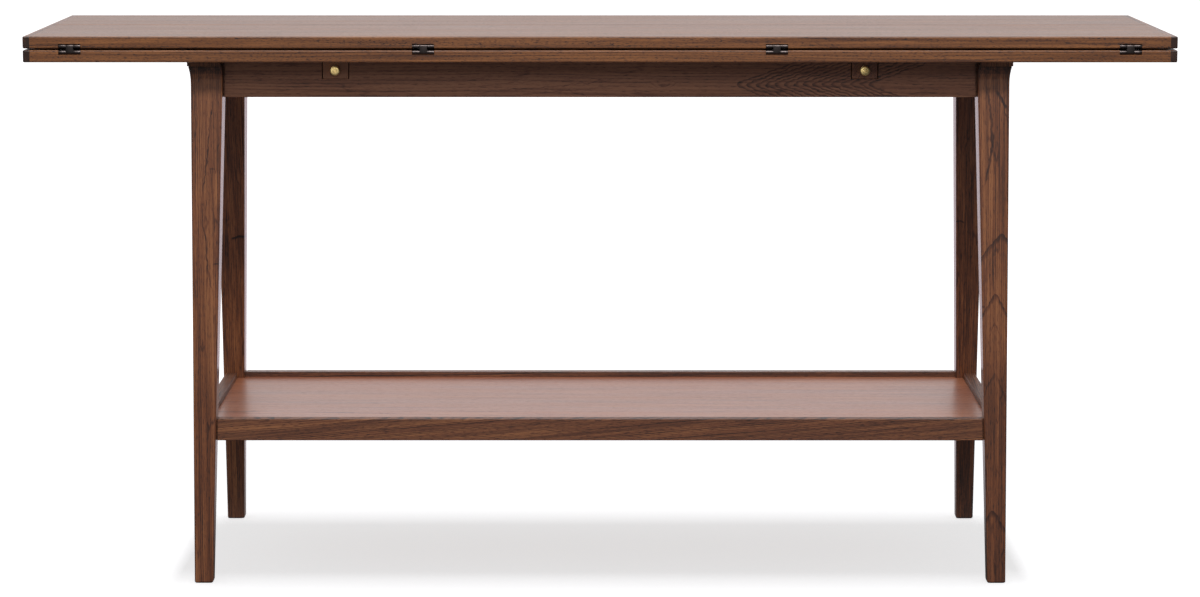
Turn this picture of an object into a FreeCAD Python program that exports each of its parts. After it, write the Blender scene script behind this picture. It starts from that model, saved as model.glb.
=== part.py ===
import FreeCAD, Part
import math
import os
import re
import Sketcher

# A folding console table. A fixed bed on four splayed legs carries two leaves. They meet at a seam, which
# lies a little behind the middle.
# Each leaf turns over the long edge of the bed on links with two pins, and lies on pull-out lopers.
# X runs along the table, -Y is the front, +Z is up, and the floor is at Z = 0. Sizes are millimetres.

SIZES = {
    # top
    "table_height": 762.0,
    "top_length": 1576.0,
    "top_depth": 437.0,
    "leaf_thickness": 16.5,
    "top_gap": 2.3,
    "bed_thickness": 16.7,
    "seam_gap": 1.2,
    "seam_offset": 12.0,
    "lipping_thickness": 9.5,
    "edge_round": 1.8,
    "small_round": 1.0,
    "bumper_radius": 4.0,
    "bumper_clearance": 0.3,
    "bumper_inset": 16.0,
    # legs
    "leg_end_inset": 222.5,
    "leg_top_size": 45.0,
    "leg_foot_size": 25.5,
    "leg_top_inset": 52.0,
    "foot_overhang": 6.0,
    "leg_round": 2.8,
    "foot_round": 2.5,
    "cap_height": 36.0,
    "cap_band": 9.0,
    "cap_flare": 4.6,
    "cap_line_height": 1.8,
    "cap_line_depth": 1.7,
    "cap_groove": 1.6,
    "notch_width": 5.5,
    "notch_height": 30.0,
    # aprons
    "apron_height": 53.0,
    "apron_thickness": 20.0,
    "apron_inset": 61.0,
    "side_apron_inset": 13.0,
    "tenon_thickness": 8.0,
    "tenon_shoulder": 7.0,
    "apron_tenon": 18.0,
    "shadow_gap_width": 2.0,
    "shadow_gap_depth": 4.0,
    "block_near": 36.0,
    "block_far": 80.0,
    "block_height": 32.0,
    # shelf
    "shelf_height": 228.6,
    "shelf_rail_height": 30.4,
    "shelf_rail_thickness": 17.0,
    "shelf_front_inset": 17.0,
    "shelf_side_inset": 3.5,
    "shelf_tenon": 10.0,
    "shelf_lip": 7.5,
    "panel_thickness": 12.5,
    "panel_gap": 0.4,
    "cleat_height": 9.0,
    "cleat_width": 15.0,
    "cleat_end_gap": 45.0,
    "cleat_screw_end": 50.0,
    # lopers and their guides
    "loper_width": 35.5,
    "loper_height": 27.0,
    "loper_travel": 170.0,
    "loper_leg_inset": 199.5,
    "loper_pitch": 60.0,
    "loper_gap": 0.4,
    "loper_side_gap": 1.2,
    "loper_end_gap": 3.0,
    "guide_thickness": 18.0,
    "guide_ledge": 7.0,
    "ledge_thickness": 6.0,
    "guide_screw_y": 90.0,
    "stop_block_length": 15.0,
    "stop_peg_radius": 4.0,
    "stop_peg_drop": 5.0,
    "stop_peg_depth": 15.0,
    "stop_clearance": 0.3,
    "knob_radius": 6.5,
    "knob_drop": 15.9,
    "knob_neck_radius": 3.2,
    "knob_neck": 3.5,
    "knob_head": 6.5,
    "knob_round": 2.2,
    "stud_radius": 2.0,
    "stud_length": 16.0,
    # hinges
    "hinge_width": 29.7,
    "hinge_end_inset": 63.95,
    "barrel_radius": 2.9,
    "pin_inset": 3.6,
    "pin_radius": 1.25,
    "pin_clearance": 0.05,
    "link_width": 10.0,
    "knuckle_gap": 0.15,
    "swing_clearance": 0.4,
    "plate_thickness": 1.5,
    "plate_reach": 24.0,
    "recess_clearance": 0.1,
    "hinge_screw_spacing": 9.5,
    "hinge_screw_reach": 14.0,
    # screws
    "hinge_screw_head": 2.6,
    "hinge_screw_core": 1.2,
    "hinge_screw_length": 12.0,
    "frame_screw_head": 4.2,
    "frame_screw_core": 2.0,
    "frame_screw_length": 45.0,
    "cleat_screw_head": 3.4,
    "cleat_screw_core": 1.6,
    "cleat_screw_length": 18.0,
    "round_head_height": 2.6,
    "screw_point": 2.5,
    "screw_clearance": 0.05,
}
HINGE_COUNT = 4
HINGE_SCREWS = 3
CLEAT_SCREWS = 5
FOOT_ANGLES = (90, 60, 30, 0)
CAP_STEPS = (0.35, 0.65, 0.85, 1.0)
CAP_CURVE = 2.5

# Heights
LEAF_BOTTOM = "(table_height - leaf_thickness)"
BED_TOP = "(table_height - leaf_thickness - top_gap)"
BED_BOTTOM = "(table_height - leaf_thickness - top_gap - bed_thickness)"
APRON_BOTTOM = f"({BED_BOTTOM} - apron_height)"
LEDGE_TOP = f"({BED_BOTTOM} - loper_height - 2 * loper_gap)"
GUIDE_BOTTOM = f"({LEDGE_TOP} - ledge_thickness)"
RAIL_BOTTOM = "(shelf_height - shelf_rail_height)"
PANEL_TOP = "(shelf_height - shelf_lip)"
PANEL_BOTTOM = "(shelf_height - shelf_lip - panel_thickness)"
# Faces, as distances from the middle of the table
PANEL_END = "(top_length / 2 - lipping_thickness)"
LEG_FACE = "(top_length / 2 - leg_end_inset)"
APRON_FACE = "(top_depth / 2 - apron_inset)"
APRON_BACK = f"({APRON_FACE} - apron_thickness)"
SIDE_APRON_FACE = f"({LEG_FACE} - side_apron_inset)"
SIDE_APRON_BACK = f"({SIDE_APRON_FACE} - apron_thickness)"
RAIL_FACE = "(top_depth / 2 - shelf_front_inset)"
RAIL_BACK = f"({RAIL_FACE} - shelf_rail_thickness)"
SIDE_RAIL_FACE = f"({LEG_FACE} - shelf_side_inset)"
SIDE_RAIL_BACK = f"({SIDE_RAIL_FACE} - shelf_rail_thickness)"
PIN_LINE = "(top_depth / 2 - pin_inset)"
CLEAT_END = f"({SIDE_RAIL_BACK} - cleat_end_gap)"
FRONT_LOPER = f"({LEG_FACE} - loper_leg_inset)"
REAR_LOPER = f"({LEG_FACE} - loper_leg_inset - loper_pitch)"
LOPER_SIDE = "(loper_width / 2 + loper_side_gap)"
# Rows along X
FIRST_HINGE = "(hinge_end_inset - top_length / 2)"
HINGE_SPACING = f"((top_length - 2 * hinge_end_inset) / {HINGE_COUNT - 1})"
FIRST_CLEAT_SCREW = f"(cleat_screw_end - {CLEAT_END})"
CLEAT_SCREW_SPACING = f"(2 * ({CLEAT_END} - cleat_screw_end) / {CLEAT_SCREWS - 1})"

doc = FreeCAD.newDocument("folding_console_table")
sheet = doc.addObject("Spreadsheet::Sheet", "Sizes")
for row, (alias, size) in enumerate(SIZES.items(), start=1):
    sheet.set(f"A{row}", alias)
    sheet.set(f"B{row}", str(size))
    sheet.setAlias(f"B{row}", alias)
doc.recompute()


def linked(text):
    """Returns an expression in which the name of each size points at its cell."""
    return re.sub(r"[a-z_]+", lambda m: f"Sizes.{m.group()}" if m.group() in SIZES else m.group(), text)


def bind(thing, prop, text):
    """Ties a property to an expression of sizes."""
    thing.setExpression(prop, linked(text))


def value(text):
    """Returns the number that an expression of sizes has now."""
    return float(sheet.evalExpression(linked(text)))


def leg_size(z):
    """Side of a leg's square section at height z."""
    return f"(leg_foot_size + (leg_top_size - leg_foot_size) * ({z}) / {BED_BOTTOM})"


def leg_front(z):
    """Distance of a leg's outer long-side face from the middle, at height z."""
    return f"(top_depth / 2 + foot_overhang - (leg_top_inset + foot_overhang) * ({z}) / {BED_BOTTOM})"


def leg_back(z):
    """Distance of a leg's inner long-side face from the middle, at height z."""
    return f"({leg_front(z)} - {leg_size(z)})"


def leg_inside(z):
    """Distance of a leg's inner end face from the middle, at height z."""
    return f"({LEG_FACE} - {leg_size(z)})"


class Piece:
    """A body under construction. Its sketches lie on its own origin planes and are bound to the sheet."""

    def __init__(self, label, at=("0", "0", "0"), turned=False):
        """Starts a body at a place, turned half round about Z if asked."""
        self.body = doc.addObject("PartDesign::Body", label)
        self.body.Label = label
        self.datums = {f.Role: f for f in self.body.Origin.OriginFeatures}
        half_turn = FreeCAD.Rotation(FreeCAD.Vector(0, 0, 1), 180 if turned else 0)
        self.body.Placement = FreeCAD.Placement(FreeCAD.Vector(), half_turn)
        for axis, text in zip("xyz", at):
            bind(self.body, f"Placement.Base.{axis}", text)

    def add(self, kind, profile=None):
        """Adds a feature and makes it the tip."""
        feature = self.body.newObject(f"PartDesign::{kind}", kind)
        if profile:
            feature.Profile = profile
            profile.Visibility = False
        self.body.Tip = feature
        return feature

    def sketch(self, plane, at=("0", "0", "0")):
        """Returns an empty sketch on plane XY, XZ or YZ, with its origin at a place of the body's frame."""
        x, y, z = at
        offset = {"XY": (x, y, z), "XZ": (x, z, f"-({y})"), "YZ": (y, z, x)}[plane]
        sketch = self.body.newObject("Sketcher::SketchObject", "Sketch")
        sketch.AttachmentSupport = (self.datums[f"{plane}_Plane"], [""])
        sketch.MapMode = "FlatFace"
        for axis, text in zip("xyz", offset):
            bind(sketch, f"AttachmentOffset.Base.{axis}", text)
        return sketch

    def outline(self, plane, points, at=("0", "0", "0")):
        """Returns a sketch of straight lines through points, each corner bound to the sheet."""
        sketch = self.sketch(plane, at)
        corners = [[value(text) for text in point] for point in points]
        count = len(corners)
        for here in range(count):
            ends = [FreeCAD.Vector(*corners[i], 0) for i in (here, (here + 1) % count)]
            sketch.addGeometry(Part.LineSegment(*ends), False)
        for here in range(count):
            sketch.addConstraint(Sketcher.Constraint("Coincident", here, 2, (here + 1) % count, 1))
            fix_point(sketch, here, 1, points[here], corners[here])
        return sketch

    def circles(self, plane, centres, radius, at=("0", "0", "0")):
        """Returns a sketch of equal circles."""
        sketch = self.sketch(plane, at)
        for geometry, centre in enumerate(centres):
            place = [value(text) for text in centre]
            circle = Part.Circle(FreeCAD.Vector(*place, 0), FreeCAD.Vector(0, 0, 1), value(radius))
            sketch.addGeometry(circle, False)
            fix_point(sketch, geometry, 3, centre, place)
            number = sketch.addConstraint(Sketcher.Constraint("Radius", geometry, value(radius)))
            bind(sketch, f"Constraints[{number}]", radius)
        return sketch

    def rounded_box(self, plane, low, high, radius, at=("0", "0", "0")):
        """Returns a sketch of a rectangle with round corners, from its low corner to its high one."""
        sketch = self.sketch(plane, at)
        (x0, y0), (x1, y1) = [[value(text) for text in corner] for corner in (low, high)]
        r = value(radius)
        middles = ((x1 - r, y0 + r), (x1 - r, y1 - r), (x0 + r, y1 - r), (x0 + r, y0 + r))
        quarter = math.pi / 2
        arcs = []
        for step, middle in enumerate(middles):
            circle = Part.Circle(FreeCAD.Vector(*middle, 0), FreeCAD.Vector(0, 0, 1), r)
            arcs.append(Part.ArcOfCircle(circle, (step - 1) * quarter, step * quarter))
        lines = [Part.LineSegment(arcs[i].EndPoint, arcs[(i + 1) % 4].StartPoint) for i in range(4)]
        for arc, line in zip(arcs, lines):
            sketch.addGeometry(arc, False)
            sketch.addGeometry(line, False)
        for step in range(4):
            arc, line, after = 2 * step, 2 * step + 1, (2 * step + 2) % 8
            sketch.addConstraint(Sketcher.Constraint("Tangent", arc, 2, line, 1))
            sketch.addConstraint(Sketcher.Constraint("Tangent", line, 2, after, 1))
            sketch.addConstraint(Sketcher.Constraint("Horizontal" if step % 2 else "Vertical", line))
        for arc in (2, 4, 6):
            sketch.addConstraint(Sketcher.Constraint("Equal", 0, arc))
        sizes = (
            ("DistanceX", 1, high[0], x1),
            ("DistanceY", 3, high[1], y1),
            ("DistanceX", 5, low[0], x0),
            ("DistanceY", 7, low[1], y0),
        )
        for kind, line, text, now in sizes:
            number = sketch.addConstraint(Sketcher.Constraint(kind, -1, 1, line, 1, now))
            bind(sketch, f"Constraints[{number}]", text)
        number = sketch.addConstraint(Sketcher.Constraint("Radius", 0, r))
        bind(sketch, f"Constraints[{number}]", radius)
        return sketch

    def prism(self, plane, shape, start, end, cut=False):
        """Pads or cuts a shape from start to end along the axis across its plane.

        The shape is a list of corners, or a dict with "centres" and "radius" for circles."""
        across = {"XY": ("0", "0", start), "XZ": ("0", start, "0"), "YZ": (start, "0", "0")}[plane]
        if isinstance(shape, dict):
            profile = self.circles(plane, shape["centres"], shape["radius"], at=across)
        else:
            profile = self.outline(plane, shape, at=across)
        feature = self.add("Pocket" if cut else "Pad", profile)
        feature.Reversed = (plane == "XZ") != cut
        bind(feature, "Length", f"({end}) - ({start})")
        return feature

    def box(self, low, high, cut=False):
        """Pads or cuts a box between two corners."""
        (x0, y0, z0), (x1, y1, z1) = low, high
        return self.prism("XY", [(x0, y0), (x1, y0), (x1, y1), (x0, y1)], z0, z1, cut)

    def spin(self, points, at, axis="V_Axis", cut=False):
        """Turns a half outline on the YZ plane about its own vertical or level axis."""
        profile = self.outline("YZ", points, at=at)
        feature = self.add("Groove" if cut else "Revolution", profile)
        feature.ReferenceAxis = (profile, [axis])
        feature.Angle = 360
        return feature

    def loft(self, sections):
        """Adds a straight-sided loft through sketches."""
        feature = self.add("AdditiveLoft", sections[0])
        feature.Sections = sections[1:]
        feature.Ruled = True
        return feature

    def repeat(self, originals, rows=(), mirrors=()):
        """Repeats features in rows along X, each (spacing, count), and mirrors them in planes XZ or YZ."""
        steps = []
        for spacing, count in rows:
            step = self.body.newObject("PartDesign::LinearPattern", "Row")
            step.Direction = (self.datums["X_Axis"], [""])
            step.Mode = "Spacing"
            bind(step, "Offset", spacing)
            step.Occurrences = count
            steps.append(step)
        for plane in mirrors:
            step = self.body.newObject("PartDesign::Mirrored", "Mirror")
            step.MirrorPlane = (self.datums[f"{plane}_Plane"], [""])
            steps.append(step)
        feature = self.add("MultiTransform")
        feature.Originals = originals
        feature.Transformations = steps
        return feature

    def fillet(self, radius, wanted):
        """Rounds the edges of the tip for which wanted(edge) is true."""
        doc.recompute()
        base = self.body.Tip
        names = [f"Edge{i}" for i, edge in enumerate(base.Shape.Edges, start=1) if wanted(edge)]
        feature = self.add("Fillet")
        feature.Base = (base, names)
        bind(feature, "Radius", radius)
        return feature


def fix_point(sketch, geometry, vertex, texts, place):
    """Ties a point of a sketch to two expressions."""
    for kind, text, now in zip(("DistanceX", "DistanceY"), texts, place):
        number = sketch.addConstraint(Sketcher.Constraint(kind, -1, 1, geometry, vertex, now))
        bind(sketch, f"Constraints[{number}]", text)


def along_x(edge):
    """Says whether an edge is straight and runs along X."""
    box = edge.BoundBox
    return box.XLength > 1 and box.YLength < 0.01 and box.ZLength < 0.01


def rectangle(x0, x1, y0, y1):
    """Returns the corners of a rectangle."""
    return [(x0, y0), (x1, y0), (x1, y1), (x0, y1)]


# --- top ---


def make_board(label, back, bottom, top, turned=False):
    """Starts a board of the top between its two end lippings, from the front edge to y = back."""
    board = Piece(label, turned=turned)
    board.box((f"-{PANEL_END}", "-top_depth / 2", bottom), (PANEL_END, back, top))
    board.fillet("edge_round", along_x)
    return board


def make_lippings(label, back, bottom, top, turned=False):
    """Makes the solid strips across the two ends of a board."""
    piece = Piece(label, turned=turned)
    pad = piece.box((PANEL_END, "-top_depth / 2", bottom), ("top_length / 2", back, top))
    joint = value(PANEL_END)
    fillet = piece.fillet("edge_round", lambda edge: edge.BoundBox.XMax > joint + 0.01)
    piece.repeat([pad, fillet], mirrors=["YZ"])


def cut_hinge_seats(board, level, sign, mirrors=()):
    """Cuts the notches, plate recesses and screw holes of one row of hinges.

    The pins lie at height level. The sign is 1 where the plate lies above them and -1 below."""
    swing = "(barrel_radius + swing_clearance)"
    face = "(barrel_radius + edge_round)"
    floor = "(barrel_radius - plate_thickness - recess_clearance)"
    half = "(hinge_width / 2 + swing_clearance)"
    reach = "(plate_reach + recess_clearance)"
    edge = "(-pin_inset - edge_round)"
    notch = [(edge, face), (edge, f"-{swing}"), (swing, f"-{swing}"), (swing, floor)]
    plate = [(reach, floor), (reach, face)]
    points = [(y, f"{sign} * {z}") for y, z in notch + plate]
    sketch = board.outline("YZ", points, at=(f"{FIRST_HINGE} - {half}", f"-{PIN_LINE}", level))
    recess = board.add("Pocket", sketch)
    recess.Reversed = True
    bind(recess, "Length", f"2 * {half}")
    board.repeat([recess], rows=[(HINGE_SPACING, HINGE_COUNT)], mirrors=mirrors)
    centre = (f"{FIRST_HINGE} - hinge_screw_spacing", f"hinge_screw_reach - {PIN_LINE}")
    hole = {"centres": [centre], "radius": "hinge_screw_core + screw_clearance"}
    ends = [f"{level} + {sign} * (barrel_radius - hinge_screw_length)", f"{level} + {sign} * {face}"]
    screw_hole = board.prism("XY", hole, *sorted(ends, key=value), cut=True)
    rows = [("hinge_screw_spacing", HINGE_SCREWS), (HINGE_SPACING, HINGE_COUNT)]
    board.repeat([screw_hole], rows=rows, mirrors=mirrors)


def make_bed():
    """Makes the fixed bed, its lippings and the pads that hold the leaves clear of it."""
    bed = make_board("fixed_top_panel", "top_depth / 2", BED_BOTTOM, BED_TOP)
    cut_hinge_seats(bed, f"({BED_TOP} - barrel_radius)", 1, mirrors=["XZ"])
    holes = {"centres": frame_screw_places(), "radius": "frame_screw_core + screw_clearance"}
    depth = f"({BED_BOTTOM} + frame_screw_length - block_height)"
    bed.repeat([bed.prism("XY", holes, BED_BOTTOM, depth, cut=True)], mirrors=["YZ", "XZ"])
    make_lippings("fixed_top_end_lippings", "top_depth / 2", BED_BOTTOM, BED_TOP)
    pads = Piece("bumper_pads", at=("0", "seam_offset", "0"))
    disc = {"centres": [(FIRST_HINGE, "-bumper_inset")], "radius": "bumper_radius"}
    pad = pads.prism("XY", disc, BED_TOP, f"{LEAF_BOTTOM} - bumper_clearance")
    pads.repeat([pad], rows=[(HINGE_SPACING, HINGE_COUNT)], mirrors=["XZ"])


def make_leaf(side, sign, turned):
    """Makes a leaf and its lippings. The sign is 1 for the deeper leaf, which reaches past the middle."""
    shape = (f"{sign} * seam_offset - seam_gap / 2", LEAF_BOTTOM, "table_height", turned)
    board = make_board(f"{side}_leaf_panel", *shape)
    cut_hinge_seats(board, f"({LEAF_BOTTOM} + barrel_radius)", -1)
    make_lippings(f"{side}_leaf_end_lippings", *shape)


# --- legs ---


def leg_section(leg, side, z, flare="0", shrink="0", end_flare=None):
    """Returns a front leg's round-cornered section at height z.

    It is flared on the two outer faces, by its own amount on the end one if given, and shrunk on all."""
    inner, outer = f"({leg_inside(z)} + {shrink})", f"({LEG_FACE} + {end_flare or flare} - {shrink})"
    ends = sorted([f"{side} * {inner}", f"{side} * {outer}"], key=value)
    low = (ends[0], f"{shrink} - {leg_front(z)} - {flare}")
    high = (ends[1], f"-{leg_back(z)} - {shrink}")
    return leg.rounded_box("XY", low, high, "leg_round", at=("0", "0", z))


def make_leg(label, side, turned):
    """Makes a tapered, splayed leg with a flared cap. The side is 1 at the right of its frame, -1 left."""
    leg = Piece(label, turned=turned)
    cap_start = f"({BED_BOTTOM} - cap_height)"
    band_start = f"({BED_BOTTOM} - cap_band)"
    line_start = f"({band_start} - cap_line_height)"
    foot = []
    for angle in FOOT_ANGLES:
        rise = f"foot_round * (1 - sin({angle} deg))"
        inset = f"foot_round * (1 - cos({angle} deg))"
        foot.append(leg_section(leg, side, rise, shrink=inset))
    leg.loft([*foot, leg_section(leg, side, cap_start)])
    narrow = "(cap_flare - cap_line_depth)"
    steps = [(cap_start, "0")]
    for share in CAP_STEPS:
        height = f"({cap_start} + {share} * ({line_start} - {cap_start}))"
        steps.append((height, f"{narrow} * {share ** CAP_CURVE:.3f}"))
    leg.loft([leg_section(leg, side, z, flare) for z, flare in steps])
    groove = f"({narrow} - cap_groove)"
    leg.loft([leg_section(leg, side, z, groove, end_flare=narrow) for z in (line_start, band_start)])
    leg.loft([leg_section(leg, side, z, "cap_flare") for z in (band_start, BED_BOTTOM)])
    for low, high in leg_mortises():
        (x0, y0, z0), (x1, y1, z1) = low, high
        ends = sorted([f"{side} * ({x0})", f"{side} * ({x1})"], key=value)
        leg.box((ends[0], y0, z0), (ends[1], y1, z1), cut=True)
    cut_notch(leg, side)


def cut_notch(leg, side):
    """Hollows the cap's corner beside the long apron, so that its band ends free of the apron."""
    start = f"({BED_BOTTOM} - notch_height)"
    above = f"({BED_BOTTOM} + leg_round)"
    points = [(f"{leg_inside(start)} - leg_round", start), (f"{leg_inside(start)} - leg_round", above)]
    points.append((f"{leg_inside(BED_BOTTOM)} + notch_width", above))
    for share in (*reversed(CAP_STEPS), 0):
        z = f"({start} + {share} * ({BED_BOTTOM} - {start}))"
        points.append((f"{leg_inside(z)} + notch_width * {share ** CAP_CURVE:.3f}", z))
    corners = [(f"{side} * ({x})", z) for x, z in points]
    leg.prism("XZ", corners, "-top_depth / 2", f"-({APRON_FACE} - shadow_gap_depth)", cut=True)


def front_tenon(face, thickness, low, high, reach):
    """Returns the box of a tenon that enters the right front leg along X."""
    outer = f"-({face} - ({thickness} - tenon_thickness) / 2)"
    middle = f"(({low} + {high}) / 2)"
    start = f"({leg_inside(high)} - small_round)"
    end = f"({leg_inside(middle)} + {reach})"
    return (start, outer, low), (end, f"{outer} + tenon_thickness", high)


def side_tenon(face, thickness, low, high, reach):
    """Returns the box of a tenon that enters the right front leg along Y."""
    outer = f"({face} - ({thickness} - tenon_thickness) / 2)"
    middle = f"(({low} + {high}) / 2)"
    start = f"-({leg_back(middle)} + {reach})"
    end = f"-({leg_back(high)} - small_round)"
    return (f"{outer} - tenon_thickness", start, low), (outer, end, high)


def tenons():
    """Returns the tenon boxes at the right front leg: long apron, side apron, long rail, side rail."""
    apron = (f"({APRON_BOTTOM} + tenon_shoulder)", f"({BED_BOTTOM} - tenon_shoulder)", "apron_tenon")
    rail = (f"({RAIL_BOTTOM} + tenon_shoulder)", "(shelf_height - tenon_shoulder)", "shelf_tenon")
    return (
        front_tenon(APRON_FACE, "apron_thickness", *apron),
        side_tenon(SIDE_APRON_FACE, "apron_thickness", *apron),
        front_tenon(RAIL_FACE, "shelf_rail_thickness", *rail),
        side_tenon(SIDE_RAIL_FACE, "shelf_rail_thickness", *rail),
    )


def leg_mortises():
    """Returns the boxes that the tenons fill, lengthened past the leg's inner faces."""
    room = "leg_round"
    boxes = []
    for number, (low, high) in enumerate(tenons()):
        (x0, y0, z0), (x1, y1, z1) = low, high
        if number % 2:
            boxes.append(((x0, y0, z0), (x1, f"{y1} + {room}", z1)))
        else:
            boxes.append(((f"{x0} - {room}", y0, z0), (x1, y1, z1)))
    return boxes


# --- frame rails ---


def make_long_rail(label, number, face, thickness, bottom, top, turned):
    """Makes a rail between the two front legs, its ends cut to their taper, with a tenon at each end.

    The outer part of each shoulder stands off the leg, which draws a shadow line."""
    rail = Piece(label, turned=turned)
    corners = [(leg_inside(bottom), bottom), (leg_inside(top), top)]
    points = [(f"-{x}", z) for x, z in corners] + corners[::-1]
    rail.prism("XZ", points, f"-{face}", f"-({face} - {thickness})")
    rail.fillet("small_round", lambda edge: along_x(edge) and is_free_edge(edge, bottom, top))
    low, high = f"({bottom} - small_round)", f"({top} + small_round)"
    gap = [(f"{leg_inside(low)} - shadow_gap_width", low), (f"{leg_inside(high)} - shadow_gap_width", high)]
    gap += [(f"{leg_inside(low)} + small_round", high), (f"{leg_inside(low)} + small_round", low)]
    outside = f"-{face} - small_round"
    rail.repeat([rail.prism("XZ", gap, outside, f"-{face} + shadow_gap_depth", cut=True)], mirrors=["YZ"])
    rail.repeat([rail.box(*tenons()[number])], mirrors=["YZ"])
    return rail


def make_side_rail(label, number, face, thickness, bottom, top, turned):
    """Makes a rail between the two right legs, its ends cut to their splay, with a tenon at each end."""
    rail = Piece(label, turned=turned)
    corners = [(leg_back(bottom), bottom), (leg_back(top), top)]
    points = [(f"-{y}", z) for y, z in corners] + corners[::-1]
    rail.prism("YZ", points, f"{face} - {thickness}", face)
    rail.fillet("small_round", lambda edge: edge.BoundBox.XLength < 0.01 and is_free_edge(edge, bottom, top))
    rail.repeat([rail.box(*tenons()[number])], mirrors=["XZ"])


def is_free_edge(edge, bottom, top):
    """Says whether a level edge lies along the rail's underside, or its top where that isn't covered."""
    box = edge.BoundBox
    level = box.ZLength < 0.01
    covered = abs(box.ZMin - value(BED_BOTTOM)) < 0.01
    return level and not covered and max(box.XLength, box.YLength) > value("leg_top_size")


def make_aprons():
    """Makes the four aprons. The long ones are notched for the lopers."""
    depth = f"({BED_BOTTOM} - {LEDGE_TOP})"
    for side, centre, turned in (("front", FRONT_LOPER, False), ("rear", REAR_LOPER, True)):
        apron = make_long_rail(
            f"{side}_apron", 0, APRON_FACE, "apron_thickness", APRON_BOTTOM, BED_BOTTOM, turned
        )
        low = (f"{centre} - {LOPER_SIDE}", f"-{APRON_FACE} - small_round", f"{BED_BOTTOM} - {depth}")
        high = (f"{centre} + {LOPER_SIDE}", f"-{APRON_BACK} + small_round", f"{BED_BOTTOM} + small_round")
        apron.repeat([apron.box(low, high, cut=True)], mirrors=["YZ"])
    for side, turned in (("right", False), ("left", True)):
        make_side_rail(
            f"{side}_apron", 1, SIDE_APRON_FACE, "apron_thickness", APRON_BOTTOM, BED_BOTTOM, turned
        )


def block_screw_places():
    """Returns the two screw places on the right rear corner block."""
    near = "(block_near + block_far) / 6"
    far = "(block_near + block_far) / 3"
    return [
        (f"{SIDE_APRON_BACK} - {far}", f"{APRON_BACK} - {near}"),
        (f"{SIDE_APRON_BACK} - {near}", f"{APRON_BACK} - {far}"),
    ]


def guide_spans():
    """Returns the X span of each right-hand guide without its ledges."""
    outer = f"({FRONT_LOPER} + {LOPER_SIDE})"
    inner = f"({REAR_LOPER} - {LOPER_SIDE})"
    return {
        "outer": (outer, f"{outer} + guide_thickness"),
        "middle": (f"{REAR_LOPER} + {LOPER_SIDE}", f"{FRONT_LOPER} - {LOPER_SIDE}"),
        "inner": (f"{inner} - guide_thickness", inner),
    }


def frame_screw_places():
    """Returns the places of the long screws in the right rear quarter of the frame."""
    guides = [(f"({x0} + {x1}) / 2", "guide_screw_y") for x0, x1 in guide_spans().values()]
    return block_screw_places() + guides


def make_screw(piece, at, size, up=True, countersunk=False):
    """Turns one screw whose head's underside is at a place. Names of its sizes start with size."""
    sign = 1 if up else -1
    if countersunk:
        head = [("0", "0"), (f"{size}_head", "0"), (f"{size}_core", f"{sign} * ({size}_head - {size}_core)")]
    else:
        head = [
            ("0", f"{-sign} * round_head_height"),
            (f"{size}_head / 2", f"{-sign} * round_head_height"),
            (f"{size}_head", f"{-sign} * round_head_height / 2"),
            (f"{size}_head", "0"),
            (f"{size}_core", "0"),
        ]
    tip = [(f"{size}_core", f"{sign} * ({size}_length - screw_point)"), ("0", f"{sign} * {size}_length")]
    return piece.spin(head + tip, at=at)


def make_corner_blocks():
    """Makes the glued corner blocks and the long screws that hold them to the bed."""
    blocks = Piece("corner_blocks")
    corners = [
        (f"{SIDE_APRON_BACK} - block_near", APRON_BACK),
        (f"{SIDE_APRON_BACK} - block_far", APRON_BACK),
        (SIDE_APRON_BACK, f"{APRON_BACK} - block_far"),
        (SIDE_APRON_BACK, f"{APRON_BACK} - block_near"),
    ]
    underside = f"({BED_BOTTOM} - block_height)"
    block = blocks.prism("XY", corners, underside, BED_BOTTOM)
    holes = {"centres": block_screw_places(), "radius": "frame_screw_core + screw_clearance"}
    drilled = blocks.prism("XY", holes, underside, BED_BOTTOM, cut=True)
    blocks.repeat([block, drilled], mirrors=["YZ", "XZ"])
    screws = Piece("corner_block_screws")
    places = [(x, y, underside) for x, y in block_screw_places()]
    screws.repeat([make_screw(screws, at, "frame_screw") for at in places], mirrors=["YZ", "XZ"])


# --- shelf ---


def make_shelf():
    """Makes the shelf: four proud rails, a panel notched round the legs, and its screwed cleats."""
    shape = ("shelf_rail_thickness", RAIL_BOTTOM, "shelf_height")
    for side, turned in (("front", False), ("rear", True)):
        make_long_rail(f"shelf_{side}_rail", 2, RAIL_FACE, *shape, turned)
    for side, turned in (("right", False), ("left", True)):
        make_side_rail(f"shelf_{side}_rail", 3, SIDE_RAIL_FACE, *shape, turned)
    make_shelf_panel()
    make_cleats()


def make_shelf_panel():
    """Makes the shelf's panel."""
    panel = Piece("shelf_panel")
    x, y = f"({SIDE_RAIL_BACK} - panel_gap)", f"({RAIL_BACK} - panel_gap)"
    panel.box((f"-{x}", f"-{y}", PANEL_BOTTOM), (x, y, PANEL_TOP))
    low = (f"{leg_inside(PANEL_TOP)} - panel_gap", f"{leg_back(PANEL_TOP)} - panel_gap", PANEL_BOTTOM)
    high = (f"{x} + small_round", f"{y} + small_round", PANEL_TOP)
    notch = panel.box(low, high, cut=True)
    panel.repeat([notch], mirrors=["YZ", "XZ"])
    holes = {"centres": [cleat_screw_place()], "radius": "cleat_screw_core + screw_clearance"}
    depth = f"{PANEL_BOTTOM} + cleat_screw_length - cleat_height"
    hole = panel.prism("XY", holes, PANEL_BOTTOM, depth, cut=True)
    panel.repeat([hole], rows=[(CLEAT_SCREW_SPACING, CLEAT_SCREWS)], mirrors=["XZ"])


def cleat_screw_place():
    """Returns the place of the first screw in the front cleat."""
    return FIRST_CLEAT_SCREW, f"-({RAIL_BACK} - cleat_width / 2)"


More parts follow.
